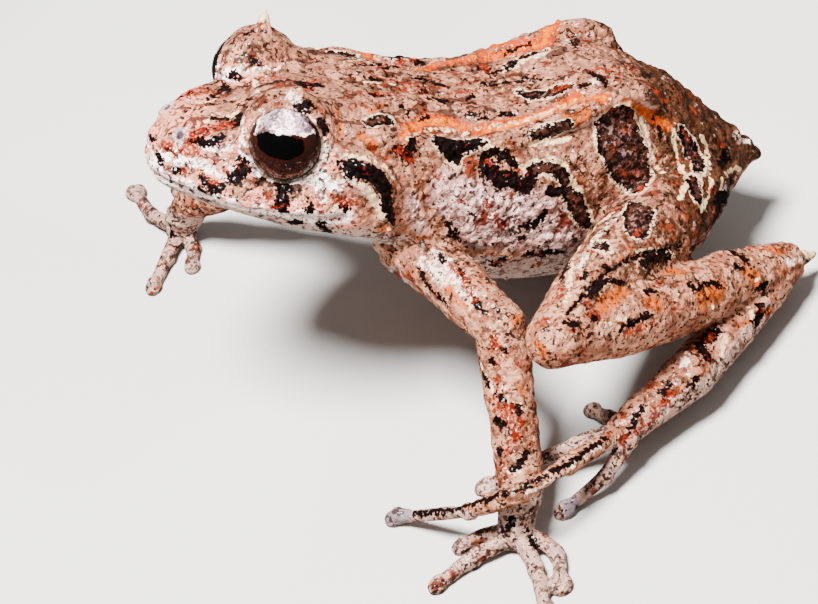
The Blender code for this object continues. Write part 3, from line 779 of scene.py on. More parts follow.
class Anatomy:
    """Tells which part of the body a point belongs to, and where its mirror place is on the left."""

    STRETCHES = (
        Stretch("shoulder", "elbow", ("elbow", "wrist"), 1.4, Zone.ARM, 0.35),
        Stretch("elbow", "wrist", ("shoulder", "elbow"), 1.3, Zone.ARM),
        Stretch("wrist", "palm", ("elbow", "wrist"), 4.5, Zone.ARM),
        Stretch("hip", "knee", ("knee", "heel"), 2.1, Zone.THIGH, 0.45),
        Stretch("knee", "heel", ("hip", "knee"), 1.75, Zone.SHANK),
        Stretch("heel", "tarsal", ("knee", "heel"), 1.3, Zone.FOOT),
        Stretch("tarsal", "toe_root", ("knee", "heel"), 1.3, Zone.FOOT),
    )
    ROOT_PULL = 0.9
    TOE_HEIGHT = 1.0
    TOE_OUT = 7.5
    TOE_FRONT = -13.0

    def __init__(self, points: np.ndarray) -> None:
        """Sort points into zones and find their places on the left side.

        Args:
            points: world positions in millimetres, one a row.
        """
        self.body = body_points(points)
        self.zone = np.zeros(len(points), dtype=int)
        best = np.full(len(points), 1.0)
        mirrored = self.body.copy()
        mirrored[:, 1] = np.abs(mirrored[:, 1])
        matrix = np.array(BODY)
        self.left_place = mirrored @ matrix[:3, :3].T + matrix[:3, 3]
        for at, mirror in ((LEFT, 1.0), (RIGHT, -1.0)):
            for stretch in self.STRETCHES:
                start, span, sides = stretch.axes(at, mirror)
                gap, along = segment_gap(points, start, start + span)
                share = gap / stretch.reach
                if stretch.root:
                    share = share + self.ROOT_PULL * soft_step(stretch.root, 0.0, along)
                closer = share < best
                best = np.where(closer, share, best)
                self.zone[closer] = stretch.zone.value
                self.left_place[closer] = points[closer]
                if mirror < 0:
                    offset = points[closer] - start
                    ahead = offset @ span / np.linalg.norm(span) ** 2
                    home, reach, home_sides = stretch.axes(LEFT, 1.0)
                    self.left_place[closer] = home + ahead[:, None] * reach + offset @ sides.T @ home_sides
        low = (points[:, 2] < self.TOE_HEIGHT) & (np.abs(points[:, 1]) > self.TOE_OUT)
        self.zone[low & (points[:, 0] > self.TOE_FRONT)] = Zone.FOOT.value


class Ink(Enum):
    """What a mark paints.

    The first five have a crisp edge, the others fade out. A blotch is dark in a cream ring, an
    ocellus is one that is brown inside.
    """

    DARK = "dark"
    BLOTCH = "blotch"
    OCELLUS = "ocellus"
    CREAM = "cream"
    ORANGE = "orange"
    RED = "red"
    AMBER = "amber"
    PALE = "pale"
    LILAC = "lilac"
    PLUM = "plum"


CRISP = (Ink.DARK, Ink.BLOTCH, Ink.OCELLUS, Ink.CREAM, Ink.ORANGE)


@dataclass(frozen=True)
class Mark:
    """A stroke of colour, given by (x, y, radius) in pixels of the photograph along its middle line.

    `lift` raises it by so many millimetres or, below 0, sinks it. `paired` repeats it on the other
    side of the body.
    """

    name: str
    ink: Ink
    path: tuple[tuple[float, float, float], ...]
    lift: float = 0.0
    paired: bool = True


def marks(ink: Ink, lift: float = 0.0, paired: bool = True, **paths: tuple) -> tuple[Mark, ...]:
    """Return marks of one kind.

    Args:
        ink: what they paint.
        lift: how far they raise the skin, in millimetres.
        paired: whether they repeat on the other side of the body.
        paths: the middle line of each, under its name.

    Returns:
        The marks.
    """
    return tuple(Mark(name, ink, path, lift, paired) for name, path in paths.items())


HEAD_MARKS = (
    *marks(Ink.DARK,
           canthal_bar=((214, 118, 2), (221, 119, 2.6), (230, 121, 2.8), (238, 123, 6), (242, 116, 3)),
           loreal_bar=((191, 140, 2.2), (198, 141, 3.2), (205, 142, 2.4), (213, 142, 3.8), (220, 139, 4)),
           loreal_fleck_front=((193, 134, 2), (197, 133, 1.6)),
           loreal_fleck_back=((202, 131, 1.8), (207, 130, 2.4)),
           snout_fleck_top=((152, 137, 1.6), (153, 141, 1.8)),
           snout_fleck_low=((158, 155, 2.6), (161, 162, 2.8)),
           snout_fleck_back=((166, 149, 1.6), (170, 150, 1.6)),
           lip_spot_front=((175, 170, 2.2), (179, 173, 2.6)),
           lip_patch_a=((203, 178, 2.8), (207, 184, 2.6), (212, 191, 4.2), (221, 187, 4.2)),
           lip_patch_b=((230, 176, 3), (236, 180, 5.6)),
           lip_patch_c=((240, 172, 3.4), (246, 171, 4.4)),
           lip_patch_c_top=((239, 161, 2.6), (246, 160, 3.2)),
           lip_streak=((198, 189, 1.4), (206, 193, 1.8)),
           cheek_fleck_a=((262, 179, 2.4), (258, 187, 2), (254, 192, 1.3)),
           cheek_patch_a=((281, 186, 4.4), (287, 189, 4.6)),
           cheek_patch_b=((278, 199, 1.6), (281, 200, 1.4)),
           cheek_patch_c=((278, 209, 2.8), (285, 212, 3.4)),
           lip_bar_a=((291, 223, 3.8), (298, 222, 4.2)),
           cheek_bar=((313, 191, 2.4), (311, 200, 3), (309, 211, 3.4)),
           lip_bar_b=((321, 224, 3), (327, 231, 4), (333, 236, 3)),
           jaw_fleck=((342, 206, 2.6), (349, 209, 3)),
           lid_spot_a=((297, 106, 3.4), (303, 107, 5), (310, 105, 4.4)),
           lid_spot_b=((321, 123, 4.4), (324, 129, 4.8)),
           lid_spot_small=((277, 95, 1.4), (280, 94, 1.6))),
    *marks(Ink.DARK, lift=0.14,
           tympanic_band=((339, 164, 4.6), (351, 168, 8.4), (365, 172, 9.6), (377, 179, 9), (384, 190, 6.6),
                          (387, 203, 4.8), (390, 215, 3.8), (393, 223, 2.4))),
    *marks(Ink.DARK, paired=False,
           far_lid_patch=((253, 61, 2.6), (258, 63, 3.4)),
           brow_bar=((258, 87, 3.4), (266, 84, 2.6), (276, 82, 2.4), (290, 80, 2.2)),
           brow_bar_back=((295, 82, 2.6), (303, 85, 3.2), (321, 85, 2)),
           crown_dash_a=((208, 103, 1.1), (218, 104, 1.1)),
           crown_dash_b=((226, 102, 1.1), (233, 102, 1.1)),
           crown_dash_c=((243, 100, 1.0), (251, 99, 1.2)),
           crown_patch=((230, 77, 2.6), (234, 74, 2.4), (240, 78, 2.4))),
    *marks(Ink.CREAM,
           loreal_cream=((206, 121, 1.4), (218, 115, 1.6), (229, 117, 1.4), (238, 112, 1.3)),
           tympanic_cream=((334, 156, 1.8), (350, 156, 2), (369, 159, 2), (386, 167, 1.8), (392, 178, 1.2))),
    *marks(Ink.CREAM, lift=0.14,
           tympanic_white_core=((358, 184, 2.4), (371, 193, 4), (378, 205, 4.4), (383, 216, 3.4))),
    *marks(Ink.CREAM, lift=0.16,
           rictal_knob=((389, 229, 2), (388, 227, 2))),
    *marks(Ink.CREAM, paired=False,
           brow_cream=((253, 75, 1.3), (255, 83, 1.6), (258, 92, 1.8))),
    *marks(Ink.RED,
           loreal_glow=((186, 138, 6), (203, 131, 8), (230, 124, 7)),
           nostril_glow=((160, 146, 6), (172, 148, 8), (188, 149, 7), (198, 152, 5)),
           lip_spot_front_glow=((182, 171, 3), (190, 175, 2)),
           lip_patch_glow=((208, 179, 4), (216, 183, 5)),
           lip_patch_b_glow=((226, 172, 4), (246, 166, 3)),
           cheek_glow=((250, 199, 6), (268, 202, 7), (288, 204, 8), (302, 194, 7)),
           cheek_bar_glow=((318, 200, 5), (322, 212, 5)),
           jaw_glow=((326, 186, 5), (334, 200, 6), (354, 203, 6)),
           lid_spot_glow=((319, 121, 2), (327, 124, 2)),
           lid_fleck=((265, 106, 2), (267, 107, 2))),
    *marks(Ink.RED, paired=False,
           far_lid_glow=((258, 57, 5), (263, 64, 5)),
           brow_glow=((262, 80, 5), (274, 77, 6.4)),
           brow_bar_glow=((308, 84, 3), (316, 80, 3)),
           crown_glow=((214, 101, 3), (238, 103, 3))),
    *marks(Ink.AMBER,
           lid_rim_amber=((335, 108, 3), (340, 124, 3), (340, 138, 3)),
           rictal_amber=((382, 231, 4), (386, 226, 3))),
    *marks(Ink.PALE,
           # The first mark below is a painted highlight on the upper lid where it catches the light; the
           # second is the lid's own pale frill below the eye.
           lid_pale=((294, 95, 6), (298, 112, 6)),
           lid_corner_pale=((322, 142, 6), (318, 160, 6), (306, 176, 4))),
    *marks(Ink.PALE, lift=0.14,
           tympanic_white=((346, 178, 4), (360, 185, 5), (371, 194, 5.5), (379, 206, 5), (384, 215, 4))),
    *marks(Ink.PALE, paired=False,
           far_lid_pale=((243, 62, 7), (246, 70, 5))),
)

BACK_MARKS = (
    # Painted shadow: a dark line in the sunk fold along the back, where the ridge beside it casts shade.
    *marks(Ink.DARK, lift=-0.16,
           dorsal_crease=((380, 74, 0.8), (411, 77, 1.0), (440, 76, 0.9), (460, 75, 0.9), (478, 82, 1.2),
                          (494, 85, 1.2), (521, 79, 1.0), (543, 80, 0.8))),
    *marks(Ink.DARK,
           back_spot_a=((434, 98, 2.6), (444, 101, 3)),
           back_spot_b=((422, 91, 1.6), (426, 92, 1.6)),
           back_spot_c=((468, 99, 1.2), (475, 96, 1.6)),
           back_spot_d=((403, 108, 2.4), (408, 113, 2)),
           back_spot_e=((470, 114, 1.6), (482, 118, 2), (490, 120, 1.2)),
           back_spot_f=((502, 114, 1.8), (511, 115, 2)),
           back_spot_g=((372, 94, 2.2), (382, 96, 2.4)),
           back_spot_h=((416, 116, 1.4), (427, 117, 1.6)),
           sacral_spot_b=((591, 72, 2), (600, 78, 3.4), (607, 84, 2.4))),
    *marks(Ink.DARK, paired=False,
           nape_dark=((356, 64, 1.8), (372, 65, 2)),
           nape_red_core=((382, 69, 2.4), (398, 66, 2.2), (420, 62, 2)),
           nape_dark_low=((371, 79, 1.6), (383, 80, 1.5)),
           spine_dark=((413, 78, 2), (424, 80, 3), (434, 83, 3.2), (446, 87, 2)),
           spine_rust_core=((480, 68, 2.4), (492, 74, 3)),
           spine_streak=((496, 70, 1.4), (508, 71, 1.6)),
           spine_shadow=((482, 83, 1), (500, 84, 1.6), (520, 80, 1)),
           sacral_spot_a=((583, 86, 3), (587, 85, 3)),
           far_streak=((506, 52, 1.4), (520, 47, 1.8), (530, 44, 1.2))),
    *marks(Ink.OCELLUS,
           crescent=((521, 92, 3.4), (533, 95, 5.6), (547, 95, 6.4), (561, 90, 7), (569, 87, 4)),
           ear_ring=((369, 123, 5.4), (378, 121, 7), (387, 120, 5.4))),
    *marks(Ink.CREAM,
           stripe_front_edge=((407, 140, 0.9), (414, 134, 0.9), (425, 130, 0.9), (440, 129, 1),
                              (456, 132, 1.2))),
    *marks(Ink.CREAM, lift=0.14,
           sacral_knob_c=((676, 122.5, 1.7), (675.6, 122.3, 1.7))),
    *marks(Ink.CREAM, lift=0.16,
           sacral_knob_a=((610, 99, 1.8), (609.6, 98.8, 1.8)),
           sacral_knob_b=((629, 104.5, 1.8), (628.6, 104.3, 1.8))),
    *marks(Ink.CREAM, lift=0.2,
           stripe_rise=((464, 134, 1), (480, 128, 1.4), (508, 123, 1.5), (528, 119, 1.4), (548, 113, 1.5),
                        (566, 105, 1.1))),
    *marks(Ink.CREAM, paired=False,
           nape_white=((344, 62, 1.1), (360, 60, 1.3), (374, 62, 1.1)),
           nape_white_low=((366, 82, 1.1), (382, 83, 1.2), (396, 85, 1.1))),
    *marks(Ink.ORANGE,
           stripe_front=((403, 137, 3.6), (409, 129, 5.6), (418, 124, 6.4), (430, 121, 6.2), (442, 120, 6),
                         (453, 123, 5.2), (464, 128, 4.6), (477, 131, 3.6)),
           stripe_middle=((477, 131, 4.6), (490, 129, 6.6), (505, 126, 7.2), (520, 123, 6.8),
                          (538, 117, 6.4)),
           stripe_back=((538, 117, 6.4), (557, 110, 7.4), (577, 102, 8.4), (592, 96, 7.4), (606, 98, 4.2)),
           sacral_stripe=((626, 104, 2.4), (638, 108, 3.4), (648, 114, 4.4), (657, 120, 4.4),
                          (667, 127, 4))),
    *marks(Ink.ORANGE, paired=False,
           far_stripe=((462, 53, 1.6), (485, 49, 2.2), (512, 43, 2.4), (532, 38, 1.6))),
    *marks(Ink.RED,
           back_spot_glow=((376, 93, 5), (424, 92, 3), (482, 91, 4)),
           sacral_spot_glow=((596, 69, 4), (620, 72, 4)),
           crescent_glow=((553, 90, 5), (565, 86, 7))),
    *marks(Ink.RED, paired=False,
           nape_red=((380, 68, 4), (398, 62, 5), (424, 58, 5)),
           spine_rust=((476, 64, 5), (490, 72, 5))),
    *marks(Ink.AMBER,
           ear_ring_amber=((371, 112, 4), (383, 105, 4)),
           neck_amber=((360, 136, 5), (374, 143, 5)),
           stripe_fall=((586, 112, 8), (576, 122, 7), (566, 116, 6)),
           sacral_amber=((624, 100, 3), (636, 104, 4), (646, 114, 5), (656, 120, 6), (667, 125, 6))),
    *marks(Ink.PALE,
           sacral_pale=((592, 80, 2.6), (601, 89, 2.4))),
)

FLANK_MARKS = (
    *marks(Ink.DARK,
           shoulder_blotch=((398, 149, 4.4), (407, 156, 6), (414, 141, 3.6)),
           blotch_second=((492, 151, 3.2), (505, 156, 4.4), (514, 165, 3.6)),
           blotch_second_low=((484, 156, 4.4), (487, 168, 7), (497, 177, 8), (500, 186, 4)),
           blotch_link=((507, 174, 5), (516, 183, 7), (525, 187, 7), (531, 178, 6), (533, 170, 5)),
           blotch_fourth=((552, 191, 5), (558, 193, 5), (566, 191, 4)),
           flank_streak=((522, 227, 2.4), (530, 225, 2.6), (538, 219, 3), (545, 212, 2.4)),
           flank_bar=((528, 254, 2), (540, 255, 3), (549, 251, 2.4), (562, 252, 3)),
           flank_low_spot=((488, 262, 2), (497, 264, 2.4), (504, 259, 2)),
           flank_fleck_e=((471, 214, 1.6), (476, 218, 1.6)),
           flank_fleck_f=((447, 222, 1.4), (455, 234, 1.8), (459, 240, 1.4)),
           flank_fleck_g=((519, 240, 1.6), (524, 237, 1.4)),
           hip_fleck_a=((653, 118, 1.6), (653.5, 120, 1.6)),
           hip_fleck_b=((660, 129, 1.8), (660, 136, 2)),
           rump_spot=((718, 141, 3), (722, 148, 3), (727, 158, 3.6), (720, 166, 3))),
    *marks(Ink.BLOTCH,
           blotch_front=((438, 140, 5.6), (447, 145, 9.6), (455, 156, 6.4), (456, 163, 2.6)),
           blotch_front_back=((450, 146, 7), (464, 147, 6.4), (476, 142, 5), (483, 144, 2.6))),
    *marks(Ink.OCELLUS,
           blotch_third=((532, 170, 5), (543, 167, 4.6), (555, 169, 6), (563, 177, 5.6), (565, 184, 4)),
           blotch_tail=((566, 193, 6), (574, 200, 8), (578, 210, 7), (584, 220, 5.4), (588, 226, 3)),
           under_stripe_oval=((534, 135, 4), (543, 133, 5.6), (556, 130, 6), (567, 125, 4.6)),
           hip_oval=((616, 124, 21), (620, 140, 25), (628, 160, 23), (637, 180, 15), (638, 187, 8)),
           rump_blotch=((682, 132, 5), (689, 145, 8), (694, 158, 8.4), (698, 167, 6))),
    *marks(Ink.CREAM,
           blotch_fall=((487, 145, 1.6), (500, 151, 1.7), (515, 160, 1.8), (524, 168, 2), (534, 160, 1.8),
                        (550, 157, 1.8), (562, 161, 1.8), (568, 174, 2), (580, 194, 2.2), (593, 222, 2.2)),
           under_stripe_cream=((530, 144, 1.6), (550, 143, 2), (568, 139, 1.8)),
           hip_line_a=((641, 120, 2), (646, 133, 2.2), (650, 149, 2.2), (655, 162, 2.4), (662, 173, 2.4)),
           hip_line_b=((674, 129, 2), (674, 142, 2.2), (677, 155, 2.4), (682, 167, 2.4), (686, 182, 2.6),
                       (681, 197, 3)),
           hip_line_c=((702, 136, 1.7), (707, 149, 1.7), (708, 162, 1.7), (709, 173, 1.7), (711, 183, 1.9),
                       (709, 195, 1.9), (701, 210, 1.7)),
           hip_line_d=((750, 166, 2.6), (740, 168, 2.6), (728, 172, 2.4), (722, 181, 2.2), (721, 194, 2.2),
                       (718, 209, 2.2), (714, 226, 2.2), (714, 238, 2.2))),
    *marks(Ink.RED,
           shoulder_glow=((398, 150, 6), (412, 160, 6)),
           blotch_second_glow=((487, 161, 5), (494, 166, 4)),
           flank_spot_a=((437, 178, 3), (443, 179, 3.6)),
           flank_glow_a=((434, 172, 4), (441, 176, 4)),
           flank_ring_b=((455, 202, 3), (461, 199, 3.4), (464, 204, 3)),
           flank_ring_c=((482, 202, 3.4), (488, 200, 4), (491, 205, 3.4)),
           flank_glow_c=((486, 202, 5), (500, 226, 7)),
           flank_ring_d=((491, 222, 3.4), (498, 219, 3.4), (506, 223, 4), (502, 231, 3.6)),
           flank_ring_d_low=((492, 233, 3), (498, 236, 3), (513, 218, 3.4)),
           flank_low_glow=((486, 264, 4), (500, 262, 5), (543, 254, 3)),
           hip_oval_glow=((604, 114, 3), (612, 109, 3.4), (628, 109, 3.4), (637, 124, 2.6)),
           rump_glow=((681, 130, 4), (690, 141, 3)),
           rump_spot_glow=((717, 140, 4), (722, 146, 4)),
           groin_rust=((613, 203, 3), (640, 191, 3.4), (665, 179, 3.4))),
    *marks(Ink.PALE,
           vent_pale=((738, 137, 6), (748, 141, 4))),
    *marks(Ink.LILAC,
           flank_lilac=((450, 192, 24), (480, 212, 36), (530, 220, 38), (565, 235, 30)),
           flank_lilac_front=((412, 196, 7), (418, 222, 10), (450, 258, 13))),
)

LEG_MARKS = (
    # Painted shade: a dark line in the sunk fold between thigh and shank.
    *marks(Ink.DARK, lift=-0.2,
           shank_crease=((567, 314, 0.8), (577, 303, 1.1), (596, 282, 1.2), (611, 270, 1.2),
                         (626, 261, 1.2), (642, 254, 1.2), (661, 250, 1.4), (682, 245, 1.4),
                         (710, 243, 1.4), (729, 246, 1.2), (748, 255, 1.2), (767, 263, 0.8))),
    *marks(Ink.DARK,
           thigh_back_dark=((730, 184, 5), (731, 206, 8), (727, 230, 8)),
           thigh_front_dark=((567, 258, 3), (566, 268, 3), (562, 277, 2.4)),
           thigh_fleck_a=((586, 271, 2), (582, 278, 2)),
           thigh_fleck_b=((603, 231, 1.8), (607, 232, 1.6)),
           thigh_fleck_c=((542, 292, 1.6), (541, 297, 1.6)),
           thigh_fleck_d=((603, 266, 1.8), (607, 268, 1.6)),
           shank_crescent=((590, 295, 3), (593, 288, 4), (599, 283, 4), (609, 280, 2.2), (621, 283, 1.6)),
           shank_brow_b=((690, 284, 2.4), (693, 290, 2), (703, 284, 1.2), (716, 284, 2), (723, 287, 1.6)),
           shank_line=((613, 333, 1.6), (622, 328, 1.8), (631, 323, 2), (641, 318, 2), (651, 314, 2.4)),
           shank_band=((642, 263, 3), (650, 260, 4.4), (659, 257, 5), (671, 258, 3)),
           shank_band_back=((690, 247, 2.6), (704, 247, 3.2), (720, 247, 3.2), (734, 253, 3),
                            (748, 262, 2.6)),
           shank_ring=((568, 323, 2.2), (574, 325, 3), (579, 324, 2)),
           shank_fleck_a=((647, 292, 1.6), (656, 290, 1.4)),
           shank_fleck_b=((597, 318, 1.8), (593, 320, 1.6)),
           shank_fleck_c=((735, 265, 2.4), (742, 269, 2)),
           heel_dark=((760, 288, 2.6), (766, 283, 3.2), (764, 291, 2)),
           tarsus_dark_a=((759, 303, 3.6), (760, 313, 4.6), (755, 323, 3.8)),
           tarsus_fleck=((739, 309, 2.4), (736, 314, 2)),
           tarsus_dark_b=((717, 332, 4.4), (708, 338, 4.6), (700, 345, 4.6), (707, 357, 3.8)),
           tarsus_dark_c=((697, 378, 2), (690, 386, 2.4)),
           tarsus_dark_d=((668, 384, 2), (662, 391, 2.2), (668, 399, 1.8)),
           sole_dark=((642, 408, 2), (635, 420, 2.2), (630, 432, 2))),
    *marks(Ink.DARK, paired=False,
           toe_four_stripe=((607, 437, 1.8), (580, 456, 1.8), (555, 471, 1.9), (525, 487, 2.0),
                            (495, 498, 2.1), (455, 509, 2.1), (420, 513, 2.0), (404, 511, 1.8))),
    *marks(Ink.OCELLUS,
           thigh_oval=((641, 200, 12), (639, 213, 14), (636, 229, 11)),
           thigh_blotch=((694, 183, 7.4), (698, 197, 6)),
           thigh_spot=((595, 245, 3.6), (602, 246, 4.2), (605, 250, 3))),
    *marks(Ink.CREAM,
           thigh_front_line=((612, 213, 1.8), (594, 230, 2), (580, 246, 2), (573, 266, 1.8),
                             (569, 286, 1.8), (566, 303, 1.6)),
           shank_line_cream=((583, 336, 1.3), (600, 327, 1.3), (618, 320, 1.4), (634, 315, 1.3)),
           shank_cream_a=((678, 246, 1.4), (690, 251, 1.6), (708, 258, 1.4)),
           shank_cream_b=((719, 242, 1.4), (735, 248, 1.6), (751, 259, 1.4)),
           shank_cream_c=((638, 252, 1.2), (652, 250, 1.3), (666, 250, 1.2), (672, 254, 1.2),
                          (676, 262, 1.3)),
           heel_tip=((805, 254, 4), (811, 254, 4)),
           tarsus_cream_a=((745, 300, 2.4), (749, 308, 2.8), (752, 318, 2.6)),
           tarsus_cream_b=((726, 336, 2.6), (724, 345, 2.8), (722, 354, 2.4))),
    *marks(Ink.CREAM, lift=0.14,
           shank_knob_a=((713, 307, 1.6), (713, 308, 1.6)),
           shank_knob_b=((757, 279, 1.6), (757.5, 279, 1.6))),
    *marks(Ink.RED,
           thigh_oval_glow=((640, 232, 5), (634, 236, 4)),
           thigh_red_a=((560, 286, 6), (558, 297, 6)),
           thigh_red_b=((545, 318, 4), (549, 324, 4)),
           shank_line_fill=((625, 334, 5), (640, 328, 6), (655, 322, 5)),
           tarsus_glow_a=((763, 310, 4), (768, 316, 4)),
           tarsus_glow_b=((712, 335, 5), (706, 342, 4)),
           tarsus_glow_c=((672, 395, 5), (655, 410, 6)),
           sole_glow=((655, 418, 6), (640, 428, 6), (624, 440, 5))),
    *marks(Ink.AMBER,
           thigh_amber=((622, 257, 4), (620, 259, 4)),
           # Painted highlight: an orange-tinted bright patch where the knee catches the light.
           knee_amber=((538, 345, 5), (545, 353, 5)),
           shank_orange_a=((606, 305, 11), (622, 296, 12)),
           shank_orange_b=((704, 299, 14), (717, 291, 14)),
           shank_orange_c=((664, 266, 10), (680, 272, 9)),
           shank_orange_d=((757, 280, 9), (746, 271, 8)),
           shank_orange_e=((648, 303, 7), (659, 305, 7)),
           heel_glow=((772, 241, 6), (779, 252, 6)),
           tarsus_amber_a=((737, 326, 3), (773, 309, 5))),
    *marks(Ink.PALE,
           thigh_front_pale=((618, 214, 5), (601, 232, 6), (587, 250, 6), (579, 270, 5)),
           heel_pale=((788, 262, 5), (804, 256, 6)),
           tarsus_pale=((690, 352, 5), (684, 362, 6))),
    *marks(Ink.PALE, paired=False,
           toe_four_under=((600, 446, 3), (558, 476, 3), (526, 494, 3), (470, 513, 3), (425, 519, 3)),
           toe_three_pale=((486, 488, 8), (496, 487, 8), (520, 470, 5))),
    *marks(Ink.PLUM,
           thigh_back_glow=((737, 190, 7), (738, 215, 7), (734, 235, 6))),
    *marks(Ink.PLUM, paired=False,
           toe_four_disc=((390, 517, 13), (402, 515, 11)),
           toe_five_disc=((552, 511, 17), (566, 508, 16))),
)

ARM_MARKS = (
    *marks(Ink.DARK,
           upper_arm_line=((407, 254, 1.1), (417, 265, 1.3), (423, 279, 1.2), (436, 295, 1.2),
                           (449, 307, 1)),
           upper_arm_mark_a=((457, 268, 2), (463, 275, 2.2), (467, 282, 2.4)),
           upper_arm_mark_b=((440, 255, 1.4), (444, 262, 1.8)),
           upper_arm_spots=((474, 298, 1.6), (478, 306, 1.8), (486, 314, 1.6)),
           elbow_spot_a=((496, 309, 1.5), (497, 310, 1.5)),
           forearm_spot_a=((504, 349, 2), (506, 351, 2)),
           forearm_spot_b=((492, 361, 2), (493, 362, 2)),
           forearm_patch_a=((498, 394, 3), (503, 399, 3.4)),
           forearm_patch_b=((512, 406, 3), (519, 411, 3.4)),
           forearm_patch_c=((496, 419, 3), (503, 424, 3)),
           forearm_edge=((483, 374, 2), (488, 386, 2.2)),
           forearm_low_dark=((498, 450, 2), (502, 456, 2.2)),
           wrist_dark=((527, 452, 2), (521, 461, 2), (512, 470, 2.2)),
           hand_dark_a=((512, 520, 2.4), (503, 533, 2.2)),
           hand_dark_b=((528, 530, 2), (536, 548, 2))),
    *marks(Ink.CREAM,
           forearm_cream_a=((481, 364, 1.4), (487, 378, 1.8), (493, 391, 1.7)),
           forearm_cream_b=((508, 400, 1.3), (516, 403, 1.4), (525, 409, 1.3)),
           wrist_cream=((505, 466, 1.5), (500, 475, 1.4))),
    *marks(Ink.RED,
           upper_arm_glow=((446, 262, 4), (462, 275, 5), (474, 300, 5)),
           forearm_red_a=((493, 337, 6), (496, 347, 6)),
           forearm_red_b=((497, 378, 5), (500, 387, 6)),
           forearm_glow=((493, 403, 8), (507, 413, 10), (518, 424, 7)),
           forearm_low_glow=((515, 437, 6), (507, 452, 6))),
    *marks(Ink.AMBER,
           upper_arm_amber=((448, 288, 5), (458, 300, 5), (470, 312, 4)),
           elbow_amber=((519, 317, 6), (514, 322, 5)),
           forearm_amber=((520, 388, 5), (524, 396, 4))),
    *marks(Ink.PALE,
           upper_arm_cream=((414, 246, 12), (434, 262, 15), (452, 281, 13), (464, 300, 10)),
           hand_pale=((520, 512, 6), (514, 525, 6))),
    *marks(Ink.PALE, lift=0.16,
           elbow_knob=((507, 294, 1.8), (507, 295, 1.8))),
)


class Painter:
    """Puts the marks on the skin and turns them into attributes of its points."""

    MARGIN = 0.5
    FADE = 0.35
    LEAST_FADE = 0.06
    SLOPE = (-0.12, 0.1)

    def __init__(self, skin: bpy.types.Object) -> None:
        """Find where every mark lies on the fused skin.

        Args:
            skin: the skin before its relief, in millimetres.
        """
        mesh = skin.data
        self.tree = BVHTree.FromPolygons([v.co for v in mesh.vertices], [p.vertices for p in mesh.polygons])
        self.strokes: list[tuple[Mark, np.ndarray, np.ndarray, int]] = []
        for mark in (*HEAD_MARKS, *BACK_MARKS, *FLANK_MARKS, *LEG_MARKS, *ARM_MARKS):
            points = np.array([self.touch(x, y) for x, y, _ in mark.path])
            radii = np.array([r for _, _, r in mark.path]) / PIXELS_PER_MM
            zone = int(Anatomy(points[len(points) // 2][None, :]).zone[0])
            self.strokes.append((mark, points, radii, zone))

    def touch(self, x: float, y: float) -> Vector:
        """Return where the sight line through a pixel meets the skin, or passes closest to it."""
        start, way = CAMERA.ray(x, y)
        hit = self.tree.ray_cast(start, way)[0]
        if hit is not None:
            return hit
        middle = start + way * CAMERA.distance
        near = self.tree.find_nearest(middle)[0]
        spot = start + way * (near - start).dot(way)
        return self.tree.find_nearest(spot)[0]

    def depth(self, stroke: tuple[Mark, np.ndarray, np.ndarray, int], skin_points: np.ndarray,
              anatomy: Anatomy) -> tuple[np.ndarray, np.ndarray]:
        """Measure how deep points lie in a mark.

        Args:
            stroke: the mark with its points on the skin.
            skin_points: positions to measure.
            anatomy: their zones and places on the left side.

        Returns:
            The indices of the points near it and their depths in millimetres, positive inside.
        """
        mark, points, radii, zone = stroke
        places = anatomy.left_place if mark.paired else skin_points
        reach = radii.max() + self.MARGIN
        low = points.min(axis=0) - reach
        high = points.max(axis=0) + reach
        near = np.nonzero(((places > low) & (places < high)).all(axis=1) & (anatomy.zone == zone))[0]
        deep = np.full(len(near), FAR_AWAY)
        for i in range(len(points) - 1):
            gap, along = segment_gap(places[near], points[i], points[i + 1])
            deep = np.maximum(deep, radii[i] + (radii[i + 1] - radii[i]) * along - gap)
        return near, deep

    def layers(self, points: np.ndarray, anatomy: Anatomy) -> dict[Ink, np.ndarray]:
        """Paint every ink.

        Args:
            points: the skin's points.
            anatomy: their zones and places on the left side.

        Returns:
            For each ink a depth in millimetres, or a weight from 0 to 1 where it fades out.
        """
        painted = {}
        for ink in Ink:
            painted[ink] = np.full(len(points), FAR_AWAY if ink in CRISP else 0.0)
        for stroke in self.strokes:
            near, deep = self.depth(stroke, points, anatomy)
            layer = painted[stroke[0].ink]
            if stroke[0].ink in CRISP:
                layer[near] = np.maximum(layer[near], deep)
            else:
                soft = self.FADE * stroke[2].max() + self.LEAST_FADE
                layer[near] = np.maximum(layer[near], soft_step(-soft, soft, deep))
        return painted

    def lifts(self, points: np.ndarray, anatomy: Anatomy) -> np.ndarray:
        """Return how far the marks raise each point, in millimetres."""
        raised = np.zeros(len(points))
        for stroke in self.strokes:
            if stroke[0].lift:
                near, deep = self.depth(stroke, points, anatomy)
                moved = stroke[0].lift * soft_step(*self.SLOPE, deep)
                raised[near] = np.where(np.abs(moved) > np.abs(raised[near]), moved, raised[near])
        return raised


@dataclass(frozen=True)
class Relief:
    """Spacings, widths and heights of the skin's relief, in millimetres, and shares of them."""

    granule: float = 0.42
    granule_width: float = 0.62
    granule_on_trunk: float = 0.075
    granule_on_limbs: float = 0.06
    granule_on_head: float = 0.045
    digit_share: float = 0.15
    belly_share: float = 0.35
    tubercle: float = 1.25
    tubercle_width: float = 0.17
    tubercle_height: float = 0.11
    tubercle_rarity: float = 0.45
    lump: float = 1.5
    lump_height: float = 0.22
    digit_lumps: float = 0.1
    wrinkle_squeeze: tuple[float, float, float] = (0.34, 1.5, 1.5)
    wrinkle_height: float = 0.24
    crumple: float = 0.75
    crumple_height: float = 0.13
    fold_level: float = 0.4
    mouth_depth: float = 0.22
    mouth_width: float = 0.09
    nostril: tuple[float, float, float] = (24.4, 1.05, 5.25)
    nostril_reach: float = 0.7
    ring_radius: float = 0.27
    ring_height: float = 0.1
    hole_depth: float = 0.26
    hole_radius: float = 0.17
    lid_share: float = 0.35
    lid_zone: tuple[float, float] = (1.9, 2.8)


